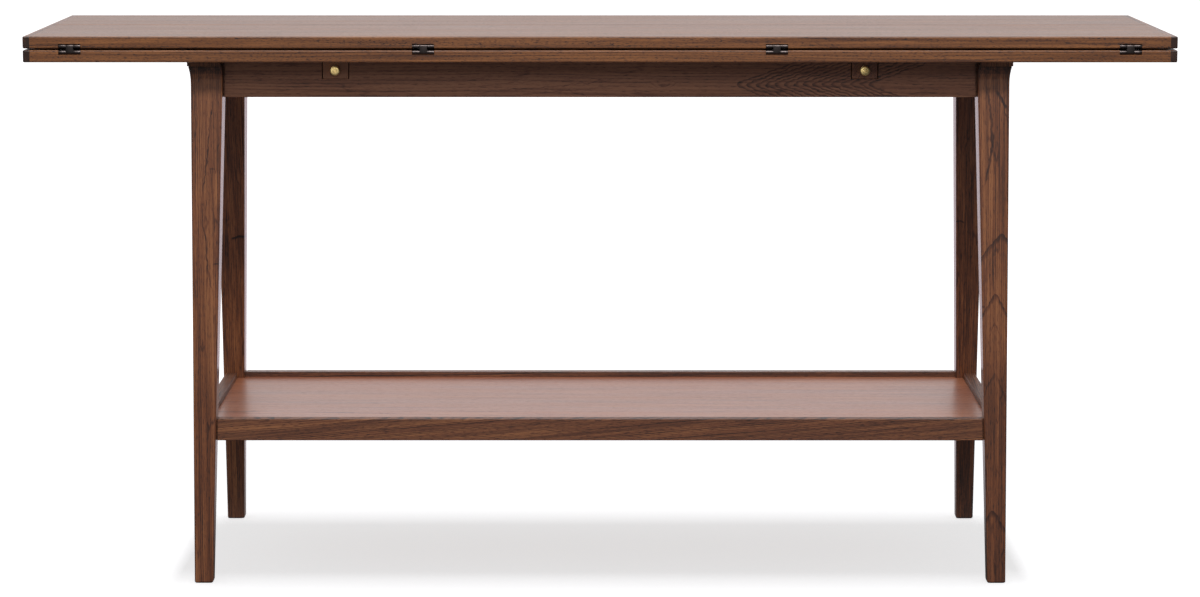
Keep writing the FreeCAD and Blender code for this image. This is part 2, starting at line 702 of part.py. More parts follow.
def make_cleats():
    """Makes the cleats along the long rails, and the screws up through them into the panel."""
    cleats = Piece("shelf_cleats")
    underside = f"({PANEL_BOTTOM} - cleat_height)"
    low = (f"-{CLEAT_END}", f"-{RAIL_BACK}", underside)
    high = (CLEAT_END, f"-({RAIL_BACK} - cleat_width)", PANEL_BOTTOM)
    cleats.repeat([cleats.box(low, high)], mirrors=["XZ"])
    holes = {"centres": [cleat_screw_place()], "radius": "cleat_screw_core + screw_clearance"}
    hole = cleats.prism("XY", holes, underside, PANEL_BOTTOM, cut=True)
    rows = [(CLEAT_SCREW_SPACING, CLEAT_SCREWS)]
    cleats.repeat([hole], rows=rows, mirrors=["XZ"])
    screws = Piece("shelf_cleat_screws")
    screw = make_screw(screws, (*cleat_screw_place(), underside), "cleat_screw")
    screws.repeat([screw], rows=rows, mirrors=["XZ"])


# --- lopers ---


def make_guides():
    """Makes the rails that carry the lopers, with ledges under them, their screws and the stop blocks."""
    for name, (x0, x1) in guide_spans().items():
        for side, turned in (("right", False), ("left", True)):
            make_guide(f"{side}_{name}_guide", name, x0, x1, turned)
    screws = Piece("guide_screws")
    places = [(f"({x0} + {x1}) / 2", "guide_screw_y", GUIDE_BOTTOM) for x0, x1 in guide_spans().values()]
    screws.repeat([make_screw(screws, at, "frame_screw") for at in places], mirrors=["YZ", "XZ"])
    blocks = Piece("loper_stop_blocks")
    half = f"({LOPER_SIDE} - guide_ledge)"
    far = f"({APRON_BACK} - stop_block_length)"
    front = blocks.box(
        (f"{FRONT_LOPER} - {half}", f"-{APRON_BACK}", GUIDE_BOTTOM),
        (f"{FRONT_LOPER} + {half}", f"-{far}", LEDGE_TOP),
    )
    rear = blocks.box(
        (f"{REAR_LOPER} - {half}", far, GUIDE_BOTTOM),
        (f"{REAR_LOPER} + {half}", APRON_BACK, LEDGE_TOP),
    )
    blocks.repeat([front, rear], mirrors=["YZ"])


def make_guide(label, name, x0, x1, turned):
    """Makes one guide: a rail from apron to apron with a ledge on each side that has a loper."""
    guide = Piece(label, turned=turned)
    left = [(x0, GUIDE_BOTTOM)]
    right = [(x1, GUIDE_BOTTOM)]
    if name != "inner":
        edge = f"{x0} - guide_ledge"
        left = [(x0, LEDGE_TOP), (edge, LEDGE_TOP), (edge, GUIDE_BOTTOM)]
    if name != "outer":
        edge = f"{x1} + guide_ledge"
        right = [(edge, GUIDE_BOTTOM), (edge, LEDGE_TOP), (x1, LEDGE_TOP)]
    points = [(x0, BED_BOTTOM), *left, *right, (x1, BED_BOTTOM)]
    guide.prism("XZ", points, f"-{APRON_BACK}", APRON_BACK)
    centres = [(f"({x0} + {x1}) / 2", y) for y in ("-guide_screw_y", "guide_screw_y")]
    holes = {"centres": centres, "radius": "frame_screw_core + screw_clearance"}
    guide.prism("XY", holes, GUIDE_BOTTOM, BED_BOTTOM, cut=True)


def make_loper(label, x, turned):
    """Makes a pull-out loper: its bar, a brass knob with a stud, and the peg that stops it."""
    sign = 1 if turned else -1
    at = (x, f"{sign} * {APRON_FACE}", f"{BED_BOTTOM} - loper_gap")
    length = f"({APRON_FACE} + {APRON_BACK} - loper_end_gap)"
    peg_y = "(loper_travel + apron_thickness + stop_block_length + stop_peg_radius + stop_clearance)"
    knob_z = "(loper_gap - knob_drop)"
    bar = Piece(f"{label}_bar", at=at, turned=turned)
    bar.box(("-loper_width / 2", "0", "-loper_height"), ("loper_width / 2", length, "0"))
    bar.fillet("small_round", lambda edge: edge.BoundBox.YLength > 1 or is_head_edge(edge))
    stud = {"centres": [("0", knob_z)], "radius": "stud_radius + screw_clearance"}
    bar.prism("XZ", stud, "0", "stud_length + screw_clearance", cut=True)
    peg = {"centres": [("0", peg_y)], "radius": "stop_peg_radius"}
    bar.prism("XY", peg, "-loper_height", "stop_peg_depth - loper_height", cut=True)
    pegs = Piece(f"{label}_stop_peg", at=at, turned=turned)
    pegs.prism("XY", peg, "-loper_height - stop_peg_drop", "stop_peg_depth - loper_height")
    make_knob(f"{label}_knob", at, knob_z, turned)


def is_head_edge(edge):
    """Says whether an edge lies round a bar's front end."""
    return edge.BoundBox.YLength < 0.01 and edge.BoundBox.YMax < value("loper_travel")


def make_knob(label, at, z, turned):
    """Turns a flat-headed knob and its stud."""
    knob = Piece(label, at=at, turned=turned)
    front = "(-knob_neck - knob_head)"
    points = [
        ("stud_length", "0"),
        ("stud_length", "stud_radius"),
        ("0", "stud_radius"),
        ("0", "knob_neck_radius"),
        ("-knob_neck", "knob_neck_radius"),
        ("-knob_neck", "knob_radius"),
        (front, "knob_radius"),
        (front, "0"),
    ]
    knob.spin(points, at=("0", "0", z), axis="H_Axis")
    rim = value("-knob_neck")
    knob.fillet("knob_round", lambda edge: edge.BoundBox.YMax < rim - 1 and is_rim(edge))


def is_rim(edge):
    """Says whether an edge is a circle as wide as the knob."""
    return abs(edge.BoundBox.XLength - 2 * value("knob_radius")) < 0.01


# --- hinges ---


def make_plates(label, at, sign, turned):
    """Makes a row of plates, each with two barrels. The sign is 1 where the plate lies above its pins."""
    plates = Piece(label, at=at, turned=turned)
    start, end = f"{FIRST_HINGE} - hinge_width / 2", f"{FIRST_HINGE} + hinge_width / 2"
    barrel = plates.prism("YZ", {"centres": [("0", "0")], "radius": "barrel_radius"}, start, end)
    low, high = f"{sign} * (barrel_radius - plate_thickness)", f"{sign} * barrel_radius"
    plate = plates.prism("YZ", rectangle("0", "plate_reach", low, high), start, end)
    bore = plates.prism("YZ", {"centres": [("0", "0")], "radius": "pin_radius"}, start, end, cut=True)
    swing = "(barrel_radius + swing_clearance)"
    half = "(link_width / 2 + knuckle_gap)"
    gap = plates.prism(
        "YZ",
        rectangle(f"-{swing}", swing, f"-{swing}", swing),
        f"{FIRST_HINGE} - {half}",
        f"{FIRST_HINGE} + {half}",
        cut=True,
    )
    plates.repeat([barrel, plate, bore, gap], rows=[(HINGE_SPACING, HINGE_COUNT)])
    head, core = "hinge_screw_head + screw_clearance", "hinge_screw_core + screw_clearance"
    cone_end = f"{sign} * (barrel_radius - hinge_screw_head + hinge_screw_core)"
    beyond = f"{sign} * (barrel_radius - 2 * plate_thickness)"
    profile = [("0", high), (head, high), (core, cone_end), (core, beyond), ("0", beyond)]
    place = (f"{FIRST_HINGE} - hinge_screw_spacing", "hinge_screw_reach", "0")
    seat = plates.spin(profile, at=place, cut=True)
    plates.repeat([seat], rows=[("hinge_screw_spacing", HINGE_SCREWS), (HINGE_SPACING, HINGE_COUNT)])


def make_pins(label, at, turned=False, mirrors=()):
    """Makes a row of pins as long as the hinges are wide."""
    pins = Piece(label, at=at, turned=turned)
    y = f"-{PIN_LINE}" if mirrors else "0"
    circle = {"centres": [(y, "0")], "radius": "pin_radius"}
    pin = pins.prism("YZ", circle, f"{FIRST_HINGE} - hinge_width / 2", f"{FIRST_HINGE} + hinge_width / 2")
    pins.repeat([pin], rows=[(HINGE_SPACING, HINGE_COUNT)], mirrors=mirrors)


def make_hinge_screws(label, at, sign, turned=False, mirrors=()):
    """Makes the countersunk screws of a row of plates."""
    screws = Piece(label, at=at, turned=turned)
    y = f"hinge_screw_reach - {PIN_LINE}" if mirrors else "hinge_screw_reach"
    place = (f"{FIRST_HINGE} - hinge_screw_spacing", y, f"{sign} * barrel_radius")
    screw = make_screw(screws, place, "hinge_screw", up=sign < 0, countersunk=True)
    rows = [("hinge_screw_spacing", HINGE_SCREWS), (HINGE_SPACING, HINGE_COUNT)]
    screws.repeat([screw], rows=rows, mirrors=mirrors)


def make_links(label, at, turned):
    """Makes a row of links, each a bar with round ends that turns on a lower and an upper pin."""
    links = Piece(label, at=at, turned=turned)
    start, end = f"{FIRST_HINGE} - link_width / 2", f"{FIRST_HINGE} + link_width / 2"
    reach = "(2 * barrel_radius + top_gap)"
    features = []
    for height in ("0", reach):
        circle = {"centres": [("0", height)], "radius": "barrel_radius"}
        features.append(links.prism("YZ", circle, start, end))
    features.append(links.prism("YZ", rectangle("-barrel_radius", "barrel_radius", "0", reach), start, end))
    bores = {"centres": [("0", "0"), ("0", reach)], "radius": "pin_radius + pin_clearance"}
    features.append(links.prism("YZ", bores, start, end, cut=True))
    links.repeat(features, rows=[(HINGE_SPACING, HINGE_COUNT)])


def make_hinges():
    """Makes the double-pin hinges along both long edges."""
    lower, upper = f"({BED_TOP} - barrel_radius)", f"({LEAF_BOTTOM} + barrel_radius)"
    for side, sign, turned in (("front", -1, False), ("rear", 1, True)):
        low_line = ("0", f"{sign} * {PIN_LINE}", lower)
        high_line = ("0", f"{sign} * {PIN_LINE}", upper)
        make_plates(f"{side}_hinge_bed_plates", low_line, 1, turned)
        make_links(f"{side}_hinge_links", low_line, turned)
        make_plates(f"{side}_hinge_leaf_plates", high_line, -1, turned)
        make_pins(f"{side}_hinge_leaf_pins", high_line, turned)
        make_hinge_screws(f"{side}_hinge_leaf_screws", high_line, -1, turned)
    make_pins("hinge_bed_pins", ("0", "0", lower), mirrors=["XZ"])
    make_hinge_screws("hinge_bed_screws", ("0", "0", lower), 1, mirrors=["XZ"])


# --- the whole table ---


def make_table():
    """Makes every part of the table."""
    make_bed()
    make_leaf("front", 1, False)
    make_leaf("rear", -1, True)
    make_leg("front_right_leg", 1, False)
    make_leg("front_left_leg", -1, False)
    make_leg("rear_left_leg", 1, True)
    make_leg("rear_right_leg", -1, True)
    make_aprons()
    make_corner_blocks()
    make_shelf()
    make_guides()
    for side, sign in (("left", -1), ("right", 1)):
        make_loper(f"front_{side}_loper", f"{sign} * {FRONT_LOPER}", False)
        make_loper(f"rear_{side}_loper", f"{sign} * {REAR_LOPER}", True)
    make_hinges()
    doc.recompute()


def check_table():
    """Stops with a message if a feature failed, a cut took nothing away, or a body isn't sound."""
    for thing in doc.Objects:
        if "Invalid" in thing.State or "Error" in thing.State:
            owner = thing.getParentGeoFeatureGroup()
            raise RuntimeError(f"{thing.Name} of {owner.Label if owner else doc.Name} failed: {thing.State}")
        if thing.TypeId in ("PartDesign::Pocket", "PartDesign::Groove"):
            if thing.Shape.Volume > thing.BaseFeature.Shape.Volume - 0.01:
                raise RuntimeError(f"{thing.Name} cuts nothing")
    for body in bodies():
        if body.Shape.isNull() or not body.Shape.isValid():
            raise RuntimeError(f"{body.Label} has no sound shape")


def bodies():
    """Returns the bodies of the table."""
    return [thing for thing in doc.Objects if thing.TypeId == "PartDesign::Body"]


make_table()
check_table()
os.makedirs("parts", exist_ok=True)
for body in bodies():
    body.Shape.exportStep(f"parts/{body.Label}.step")
    print(f"{body.Label}: {len(body.Shape.Solids)} solids, {body.Shape.Volume / 1000:.1f} cm3")
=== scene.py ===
"""Looks of a folding console table: stained oak, brass knobs, bronze hinges, and a white studio."""

import enum
import logging
import math
from dataclasses import dataclass, field
from functools import partial
from typing import Callable, Mapping, Sequence

import bmesh
import bpy
from mathutils import Euler, Matrix, Vector


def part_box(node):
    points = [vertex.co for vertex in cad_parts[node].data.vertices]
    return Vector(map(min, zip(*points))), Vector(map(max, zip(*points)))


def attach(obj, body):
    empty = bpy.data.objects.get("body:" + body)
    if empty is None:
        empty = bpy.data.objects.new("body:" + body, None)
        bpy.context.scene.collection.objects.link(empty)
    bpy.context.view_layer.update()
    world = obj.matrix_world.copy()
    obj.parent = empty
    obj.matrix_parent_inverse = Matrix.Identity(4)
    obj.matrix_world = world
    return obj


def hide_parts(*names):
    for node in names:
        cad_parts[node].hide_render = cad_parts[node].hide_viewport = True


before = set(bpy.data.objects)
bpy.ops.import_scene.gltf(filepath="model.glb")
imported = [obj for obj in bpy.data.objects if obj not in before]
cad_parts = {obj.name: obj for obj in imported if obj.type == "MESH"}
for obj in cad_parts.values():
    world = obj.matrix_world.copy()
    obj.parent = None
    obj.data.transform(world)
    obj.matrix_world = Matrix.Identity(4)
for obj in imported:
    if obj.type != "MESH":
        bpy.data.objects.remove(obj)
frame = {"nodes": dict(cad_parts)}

LOG = logging.getLogger("console_table")
MM = 0.001
IMAGE_WIDTH = 1200
TOUCH = 1e-7  # metres within which two points count as one

Pair = tuple[float, float]
Place = tuple[float, float, float]
# What goes into a node's input: a node, which stands for its first output, a socket or a value
Feed = bpy.types.Node | bpy.types.NodeSocket | float | Sequence[float]
# The function that adds nodes to one tree
Adder = Callable[..., bpy.types.Node]
# The setting that makes a Map Range node a smooth step from its first number to its second
SMOOTH = {"interpolation_type": "SMOOTHSTEP"}
# A node that is 1 where a mark of the wood lies, and how much paler the mark is, below 0 for a dark one
Layer = tuple[bpy.types.Node, float]


# --- colours and nodes ---


def linear(code: str) -> tuple[float, float, float, float]:
    """Turns an sRGB hex colour into the linear colour that shaders take.

    Args:
        code: The colour as "#rrggbb".

    Returns:
        Red, green, blue and an alpha of 1.
    """
    parts = [int(code[i : i + 2], 16) / 255 for i in (1, 3, 5)]
    red, green, blue = (p / 12.92 if p <= 0.04045 else ((p + 0.055) / 1.055) ** 2.4 for p in parts)
    return red, green, blue, 1.0


def add_node(
    tree: bpy.types.NodeTree,
    kind: str,
    *given: Feed,
    named: Mapping[str, Feed] | None = None,
    **settings: object,
) -> bpy.types.Node:
    """Adds a node with its settings and links.

    Args:
        tree: The tree that gets the node.
        kind: The node's type, without the word ShaderNode.
        given: What goes into its inputs, from the first on, without those that its settings put out of use.
        named: What goes into other inputs, by their names.
        settings: The node's own properties.

    Returns:
        The node.
    """
    node = tree.nodes.new(f"ShaderNode{kind}")
    for name, setting in settings.items():
        setattr(node, name, setting)
    fed = list(zip([socket for socket in node.inputs if socket.enabled], given))
    fed += [(node.inputs[name], value) for name, value in (named or {}).items()]
    for socket, value in fed:
        if isinstance(value, bpy.types.Node):
            value = next(output for output in value.outputs if output.enabled)
        if isinstance(value, bpy.types.NodeSocket):
            tree.links.new(value, socket)
        else:
            socket.default_value = value
    return node


def new_material(name: str) -> tuple[bpy.types.Material, Adder]:
    """Makes an empty material.

    Args:
        name: The material's name.

    Returns:
        The material, and the function that adds nodes to it.
    """
    material = bpy.data.materials.new(name)
    material.use_nodes = True
    material.node_tree.nodes.clear()
    return material, partial(add_node, material.node_tree)


# --- wood ---


class Run(enum.Enum):
    """The way the fibres of a piece run, as the turn that lays them along X."""

    ALONG_X = (0.0, 0.0, 0.0)
    ALONG_Y = (0.0, 0.0, -math.pi / 2)
    ALONG_Z = (0.0, math.pi / 2, 0.0)


@dataclass(frozen=True)
class Knot:
    """A knot: where it lies along and across the piece, and how wide the fibres bend round it."""

    along_mm: float
    across_mm: float
    depth_mm: float
    radius_mm: float


@dataclass(frozen=True)
class Arch:
    """Arched rings on a flat-sawn face, each dark at its outer side and fading within.

    They point to the higher end of the piece, or to the lower one where point is -1.
    """

    along_mm: float
    side_mm: float
    slope: float
    reach_mm: float
    depth: float
    soft_mm: float = 5.0
    round_mm: float = 3.0
    rings: int = 1
    spacing_mm: float = 14.0
    edge_mm: float = 1.2
    start_mm: float = 0.2
    last_share: float = 0.8
    end_mm: float = 2.0
    full_share: float = 0.55
    point: int = 1


@dataclass(frozen=True)
class VeinAndShade:
    """A dark line that follows the fibres, leans across them and bows to one side: a thin one is a vein,
    and a very wide one is a band of painted shade.
    """

    along_mm: float
    side_mm: float
    length_mm: float
    depth: float
    lean: float = 0.0
    bow_mm: float = 0.0
    width_mm: float = 1.4
    core_share: float = 0.2
    full_share: float = 0.6


@dataclass(frozen=True)
class Cut:
    """How a piece was sawn from its log.

    The pith is the middle of the log's growth rings. A pith close behind a face that leans away from it
    gives arched figure, and one far to the side gives straight lines. The shade is how much darker the
    piece is drawn than others of its kind.
    """

    run: Run
    pith_mm: Pair
    lean_deg: Pair = (0.0, 0.0)
    slide_mm: float = 0.0
    knots: tuple[Knot, ...] = ()
    shade: float = 0.0
    arches: tuple[Arch, ...] = ()
    veins: tuple[VeinAndShade, ...] = ()

    def lean(self) -> Place:
        """Returns how the piece leans in its log, in radians."""
        return 0.0, math.radians(self.lean_deg[0]), math.radians(self.lean_deg[1])


@dataclass(frozen=True)
class Oak:
    """Oak, sawn and planed, stained brown and sprayed with a satin lacquer.

    Stain settles in the open pores of the early wood, so each growth ring has a dark edge made of short
    dashes. They are drawn twice as wide as real pores, which would be too fine to show. Dark veins wander
    between the rings, and the stain is darker where a curve cuts across the fibres; in the legs' coves under
    the top this darkening is also painted shade. The lacquer fills the pores half, and gives a soft shine that
    turns bright at low angles.

    In a pair of sizes the first is along the fibres and the second across them. A depth is how far a mark
    moves the tone between the pale and the deep shade, and a span is where a mark starts to show and where
    it shows fully.
    """

    name: str
    # Shades, from that of the pores to that of the palest fibres
    deep: str = "#29150b"
    dark: str = "#4b2a18"
    body: str = "#6b4028"
    pale: str = "#8b5c39"
    dark_at: float = 0.33
    body_at: float = 0.62
    level: float = 0.76
    # Growth rings: spans are shares of a ring
    ring_mm: float = 2.8
    ring_noise_mm: float = 22.0
    ring_wander: float = 5.0
    ring_depth: float = 0.36
    ring_fall_span: Pair = (0.55, 0.0)
    ring_rise_span: Pair = (0.88, 1.0)
    season_pace: float = 0.45
    season_span: Pair = (0.38, 0.66)
    weak_season: float = 0.25
    # How the fibres wander, slowly and in ripples
    bend_mm: Pair = (330.0, 48.0)
    wander_mm: float = 5.0
    ripple_mm: Pair = (80.0, 10.0)
    ripple_by_mm: float = 0.9
    # Pores, fibres and what runs wider along them
    pore_mm: Pair = (9.0, 0.7)
    pore_depth: float = 0.42
    pore_span: Pair = (0.54, 0.64)
    late_pores: float = 0.45
    fibre_mm: Pair = (190.0, 1.9)
    fibre_depth: float = 0.70
    streak_mm: Pair = (260.0, 5.5)
    streak_depth: float = 0.60
    cloud_mm: Pair = (420.0, 30.0)
    cloud_depth: float = 0.45
    # Veins, in patches
    vein_mm: Pair = (110.0, 15.0)
    vein_depth: float = 0.40
    vein_span: Pair = (0.022, 0.0)
    patch_mm: Pair = (70.0, 26.0)
    patch_span: Pair = (0.47, 0.60)
    # Knots, longer than wide
    knot_squat: float = 0.45
    knot_swell: float = 0.55
    knot_span: Pair = (0.7, 1.0)
    knot_depth: float = 0.3
    # The ragged edges and the dashes of arches, single veins and bands of painted shade
    ragged_mm: Pair = (60.0, 30.0)
    ragged_by_mm: float = 2.4
    frayed_mm: Pair = (9.0, 6.0)
    frayed_by_mm: float = 3.0
    dash_span: Pair = (0.42, 0.58)
    dash_share: Pair = (0.7, 0.5)
    # Darker where the surface cuts across the fibres, at an end and a curve; at a curve also painted shade
    short_grain_and_shade_depth: float = 0.30
    short_grain_and_shade_span: Pair = (0.05, 0.22)
    end_depth: float = 0.22
    end_span: Pair = (0.75, 0.95)
    # Lacquer, duller over pores and clouds, and sunk where the wood is open
    roughness: float = 0.36
    dull: float = 0.16
    ior: float = 1.5
    coat: float = 0.15
    coat_roughness: float = 0.22
    relief_mm: float = 0.05
    relief_strength: float = 0.5
    early_relief: float = 0.3
    vein_relief: float = 0.4

    def dress(self, label: str, centre: Vector, cut: Cut) -> bpy.types.Material:
        """Makes the material of one piece.

        Args:
            label: The piece's name.
            centre: The piece's middle, in metres.
            cut: How the piece was sawn.

        Returns:
            The material.
        """
        material, add = new_material(f"{self.name} {label}")
        coords = add("TexCoord")
        turned, bent = self._lay_in_log(add, coords.outputs["Object"], centre, cut)
        flat = add("VectorMath", bent, (0.0, 1.0, 1.0), operation="MULTIPLY")
        radius = add("VectorMath", flat, operation="LENGTH")
        layers: list[Layer] = []
        for knot in cut.knots:
            radius, heart = self._swell(add, turned, radius, knot)
            layers.append((heart, -self.knot_depth))
        early, strong = self._early_wood(add, radius)
        open_pores = add("MapRange", self._noise(add, bent, self.pore_mm, 1.0), *self.pore_span, **SMOOTH)
        share = add("Math", early, 1.0 - self.late_pores, self.late_pores, operation="MULTIPLY_ADD")
        pores = add("Math", open_pores, share, operation="MULTIPLY")
        fibre = self._noise(add, bent, self.fibre_mm, 2.0)
        streak = self._noise(add, bent, self.streak_mm, 2.0)
        cloud = self._noise(add, bent, self.cloud_mm, 2.0)
        lines = add("Math", early, strong, operation="MULTIPLY")
        veins = self._veins(add, bent)
        layers += [(fibre, self.fibre_depth), (streak, self.streak_depth), (cloud, self.cloud_depth)]
        layers += [(lines, -self.ring_depth), (veins, -self.vein_depth), (pores, -self.pore_depth)]
        layers += self._marks(add, turned, fibre, cut)
        layers += self._cut_across(add, coords.outputs["Normal"], cut)
        tone: Feed = self.level - cut.shade - (self.fibre_depth + self.streak_depth + self.cloud_depth) / 2
        for layer, depth in layers:
            tone = add("Math", layer, depth, tone, operation="MULTIPLY_ADD")
        colour = add("ValToRGB", tone)
        self._fill_ramp(colour.color_ramp)
        height = add("Math", early, self.early_relief, pores, operation="MULTIPLY_ADD")
        height = add("Math", veins, self.vein_relief, height, operation="MULTIPLY_ADD")
        sunk = {"Height": height, "Strength": self.relief_strength, "Distance": self.relief_mm * MM}
        gloss = add("Math", pores, self.dull, self.roughness, operation="MULTIPLY_ADD")
        look = {
            "Base Color": colour,
            "Roughness": add("Math", cloud, self.dull, gloss, operation="MULTIPLY_ADD"),
            "IOR": self.ior,
            "Coat Weight": self.coat,
            "Coat Roughness": self.coat_roughness,
            "Normal": add("Bump", named=sunk, invert=True),
        }
        add("OutputMaterial", add("BsdfPrincipled", named=look))
        return material

    def _lay_in_log(
        self, add: Adder, place: Feed, centre: Vector, cut: Cut
    ) -> tuple[bpy.types.Node, bpy.types.Node]:
        """Lays a piece back in the log that it was sawn from.

        Args:
            add: Adds nodes to the material.
            place: The place in the object's own frame.
            centre: The piece's middle, in metres.
            cut: How the piece was sawn.

        Returns:
            The place on the piece with the fibres along X, and the place in the log with the pith along X.
        """
        centred = add("Mapping", place, tuple(-centre))
        turned = add("Mapping", centred, named={"Rotation": cut.run.value})
        shift = (cut.slide_mm * MM, cut.pith_mm[0] * MM, cut.pith_mm[1] * MM)
        bent = self._bend(add, add("Mapping", turned, shift, cut.lean()), self.bend_mm, self.wander_mm)
        return turned, self._bend(add, bent, self.ripple_mm, self.ripple_by_mm)

    def _cut_across(self, add: Adder, normal: Feed, cut: Cut) -> list[Layer]:
        """Finds where the surface cuts across the fibres: it drinks more stain, and curves take painted shade.

        Args:
            add: Adds nodes to the material.
            normal: The way that the surface faces.
            cut: How the piece was sawn.

        Returns:
            A layer for the end grain, and one for the short grain of curves, partly painted shade.
        """
        laid = Euler(cut.lean()).to_matrix() @ Euler(cut.run.value).to_matrix()
        axis = tuple(laid.inverted() @ Vector((1.0, 0.0, 0.0)))
        across = add("VectorMath", normal, axis, operation="DOT_PRODUCT")
        across = add("Math", across, operation="ABSOLUTE")
        end = add("MapRange", across, *self.end_span, **SMOOTH)
        # Short grain at curves: darker stain, and also painted shade in the legs' coves under the top
        short = add("MapRange", across, *self.short_grain_and_shade_span, **SMOOTH)
        return [(end, -self.end_depth), (short, -self.short_grain_and_shade_depth)]

    def _fill_ramp(self, ramp: bpy.types.ColorRamp) -> None:
        """Sets the stain's shades on a colour ramp."""
        for element, position, code in zip(ramp.elements, (0.0, 1.0), (self.deep, self.pale)):
            element.position = position
            element.color = linear(code)
        for position, code in ((self.dark_at, self.dark), (self.body_at, self.body)):
            ramp.elements.new(position).color = linear(code)

    def _noise(self, add: Adder, place: Feed, size_mm: Pair, detail: float) -> bpy.types.Node:
        """Draws a noise out along the fibres.

        Args:
            add: Adds nodes to the material.
            place: The place in the log, in metres.
            size_mm: How long and how wide its marks are.
            detail: How many finer layers it has.

        Returns:
            The noise, from 0 to 1.
        """
        long_mm, wide_mm = size_mm
        scale = (1 / (long_mm * MM), 1 / (wide_mm * MM), 1 / (wide_mm * MM))
        return add("TexNoise", add("VectorMath", place, scale, operation="MULTIPLY"), 1.0, detail)

    def _bend(self, add: Adder, place: Feed, size_mm: Pair, by_mm: float) -> bpy.types.Node:
        """Moves a place sideways by a slow noise, as fibres wander in a log.

        Args:
            add: Adds nodes to the material.
            place: The place in the log, in metres.
            size_mm: How long and how wide each bend is.
            by_mm: How far the fibres stray.

        Returns:
            The moved place.
        """
        noise = self._noise(add, place, size_mm, 1.0).outputs["Color"]
        reach = by_mm * MM
        spread, start = (0.0, 2 * reach, 2 * reach), (0.0, -reach, -reach)
        shift = add("VectorMath", noise, spread, start, operation="MULTIPLY_ADD")
        return add("VectorMath", place, shift, operation="ADD")

    def _swell(
        self, add: Adder, place: Feed, radius: bpy.types.Node, knot: Knot
    ) -> tuple[bpy.types.Node, bpy.types.Node]:
        """Bends the rings round a knot.

        Args:
            add: Adds nodes to the material.
            place: The place on the piece, with the fibres along X.
            radius: The distance from the pith.
            knot: The knot.

        Returns:
            The new distance from the pith, and a node that is 1 in the knot's dark heart.
        """
        squat, reach = self.knot_squat, knot.radius_mm * MM
        drawn = add("VectorMath", place, (squat, 1.0, 1.0), operation="MULTIPLY")
        centre = (knot.along_mm * MM * squat, knot.across_mm * MM, knot.depth_mm * MM)
        near = add("MapRange", add("VectorMath", drawn, centre, operation="DISTANCE"), reach, 0.0, **SMOOTH)
        swollen = add("Math", near, self.knot_swell * reach, radius, operation="MULTIPLY_ADD")
        return swollen, add("MapRange", near, *self.knot_span, **SMOOTH)

    def _marks(self, add: Adder, place: Feed, fibre: bpy.types.Node, cut: Cut) -> list[Layer]:
        """Draws a piece's arches, single veins and bands of painted shade, broken into dashes along its fibres.

        Args:
            add: Adds nodes to the material.
            place: The place on the piece, with the fibres along X.
            fibre: The noise of the fibres.
            cut: How the piece was sawn.

        Returns:
            A layer for each mark.
        """
        if not cut.arches + cut.veins:
            return []
        ragged = self._bend(add, place, self.ragged_mm, self.ragged_by_mm)
        ragged = self._bend(add, ragged, self.frayed_mm, self.frayed_by_mm)
        dashes = add("MapRange", fibre, *self.dash_span, **SMOOTH)
        dashes = add("Math", dashes, *self.dash_share, operation="MULTIPLY_ADD")
        parts = add("SeparateXYZ", ragged)
        layers = []
        for mark in cut.arches + cut.veins:
            draw = self._arch if isinstance(mark, Arch) else self._vein_and_shade
            line = draw(add, parts.outputs["X"], parts.outputs["Z"], mark)
            layers.append((add("Math", line, dashes, operation="MULTIPLY"), -mark.depth))
        return layers

    def _arch(self, add: Adder, along: Feed, side: Feed, mark: Arch) -> bpy.types.Node:
        """Draws arched rings.

        Args:
            add: Adds nodes to the material.
            along: The place along the fibres.
            side: The place across the face.
            mark: The arches.

        Returns:
            A node that is 1 on the dark side of each ring.
        """
        round_m, spacing, reach = mark.round_mm * MM, mark.spacing_mm * MM, mark.reach_mm * MM
        away = add("Math", add("Math", side, mark.side_mm * MM, operation="SUBTRACT"), operation="ABSOLUTE")
        bend = add("Math", away, away, round_m * round_m, operation="MULTIPLY_ADD")
        bend = add("Math", bend, operation="SQRT")
        down = add("Math", along, -mark.point, mark.point * mark.along_mm * MM, operation="MULTIPLY_ADD")
        inside = add("Math", bend, -mark.slope, down, operation="MULTIPLY_ADD")
        inside = add("Math", inside, mark.slope * round_m, operation="ADD")
        ring = add("Math", add("Math", inside, spacing, operation="DIVIDE"), operation="FRACT")
        fall = add("MapRange", ring, mark.soft_mm / mark.spacing_mm, 0.0, **SMOOTH)
        rise = add("MapRange", ring, 1.0 - mark.edge_mm / mark.spacing_mm, 1.0, **SMOOTH)
        line = add("Math", fall, rise, operation="MAXIMUM")
        last = (mark.rings - 1 + mark.last_share) * spacing
        ends = ((-mark.edge_mm * MM, -mark.start_mm * MM), (last, last - mark.end_mm * MM))
        for none, full in ends:
            line = add("Math", line, add("MapRange", inside, none, full, **SMOOTH), operation="MULTIPLY")
        fade = add("MapRange", away, reach, mark.full_share * reach, **SMOOTH)
        return add("Math", line, fade, operation="MULTIPLY")

    def _vein_and_shade(self, add: Adder, along: Feed, side: Feed, mark: VeinAndShade) -> bpy.types.Node:
        """Draws one dark line along the fibres: a vein, and where it is wide, a band of painted shade.

        Args:
            add: Adds nodes to the material.
            along: The place along the fibres.
            side: The place across the face.
            mark: The line.

        Returns:
            A node that is 1 on the line.
        """
        half, width, bow = mark.length_mm * MM / 2, mark.width_mm * MM, mark.bow_mm * MM
        run = add("Math", along, mark.along_mm * MM, operation="SUBTRACT")
        middle = add("Math", run, run, operation="MULTIPLY")
        middle = add("Math", middle, -bow / (half * half), mark.side_mm * MM + bow, operation="MULTIPLY_ADD")
        middle = add("Math", run, mark.lean, middle, operation="MULTIPLY_ADD")
        away = add("Math", add("Math", side, middle, operation="SUBTRACT"), operation="ABSOLUTE")
        line = add("MapRange", away, width, mark.core_share * width, **SMOOTH)
        run = add("Math", run, operation="ABSOLUTE")
        fade = add("MapRange", run, half, mark.full_share * half, **SMOOTH)
        return add("Math", line, fade, operation="MULTIPLY")

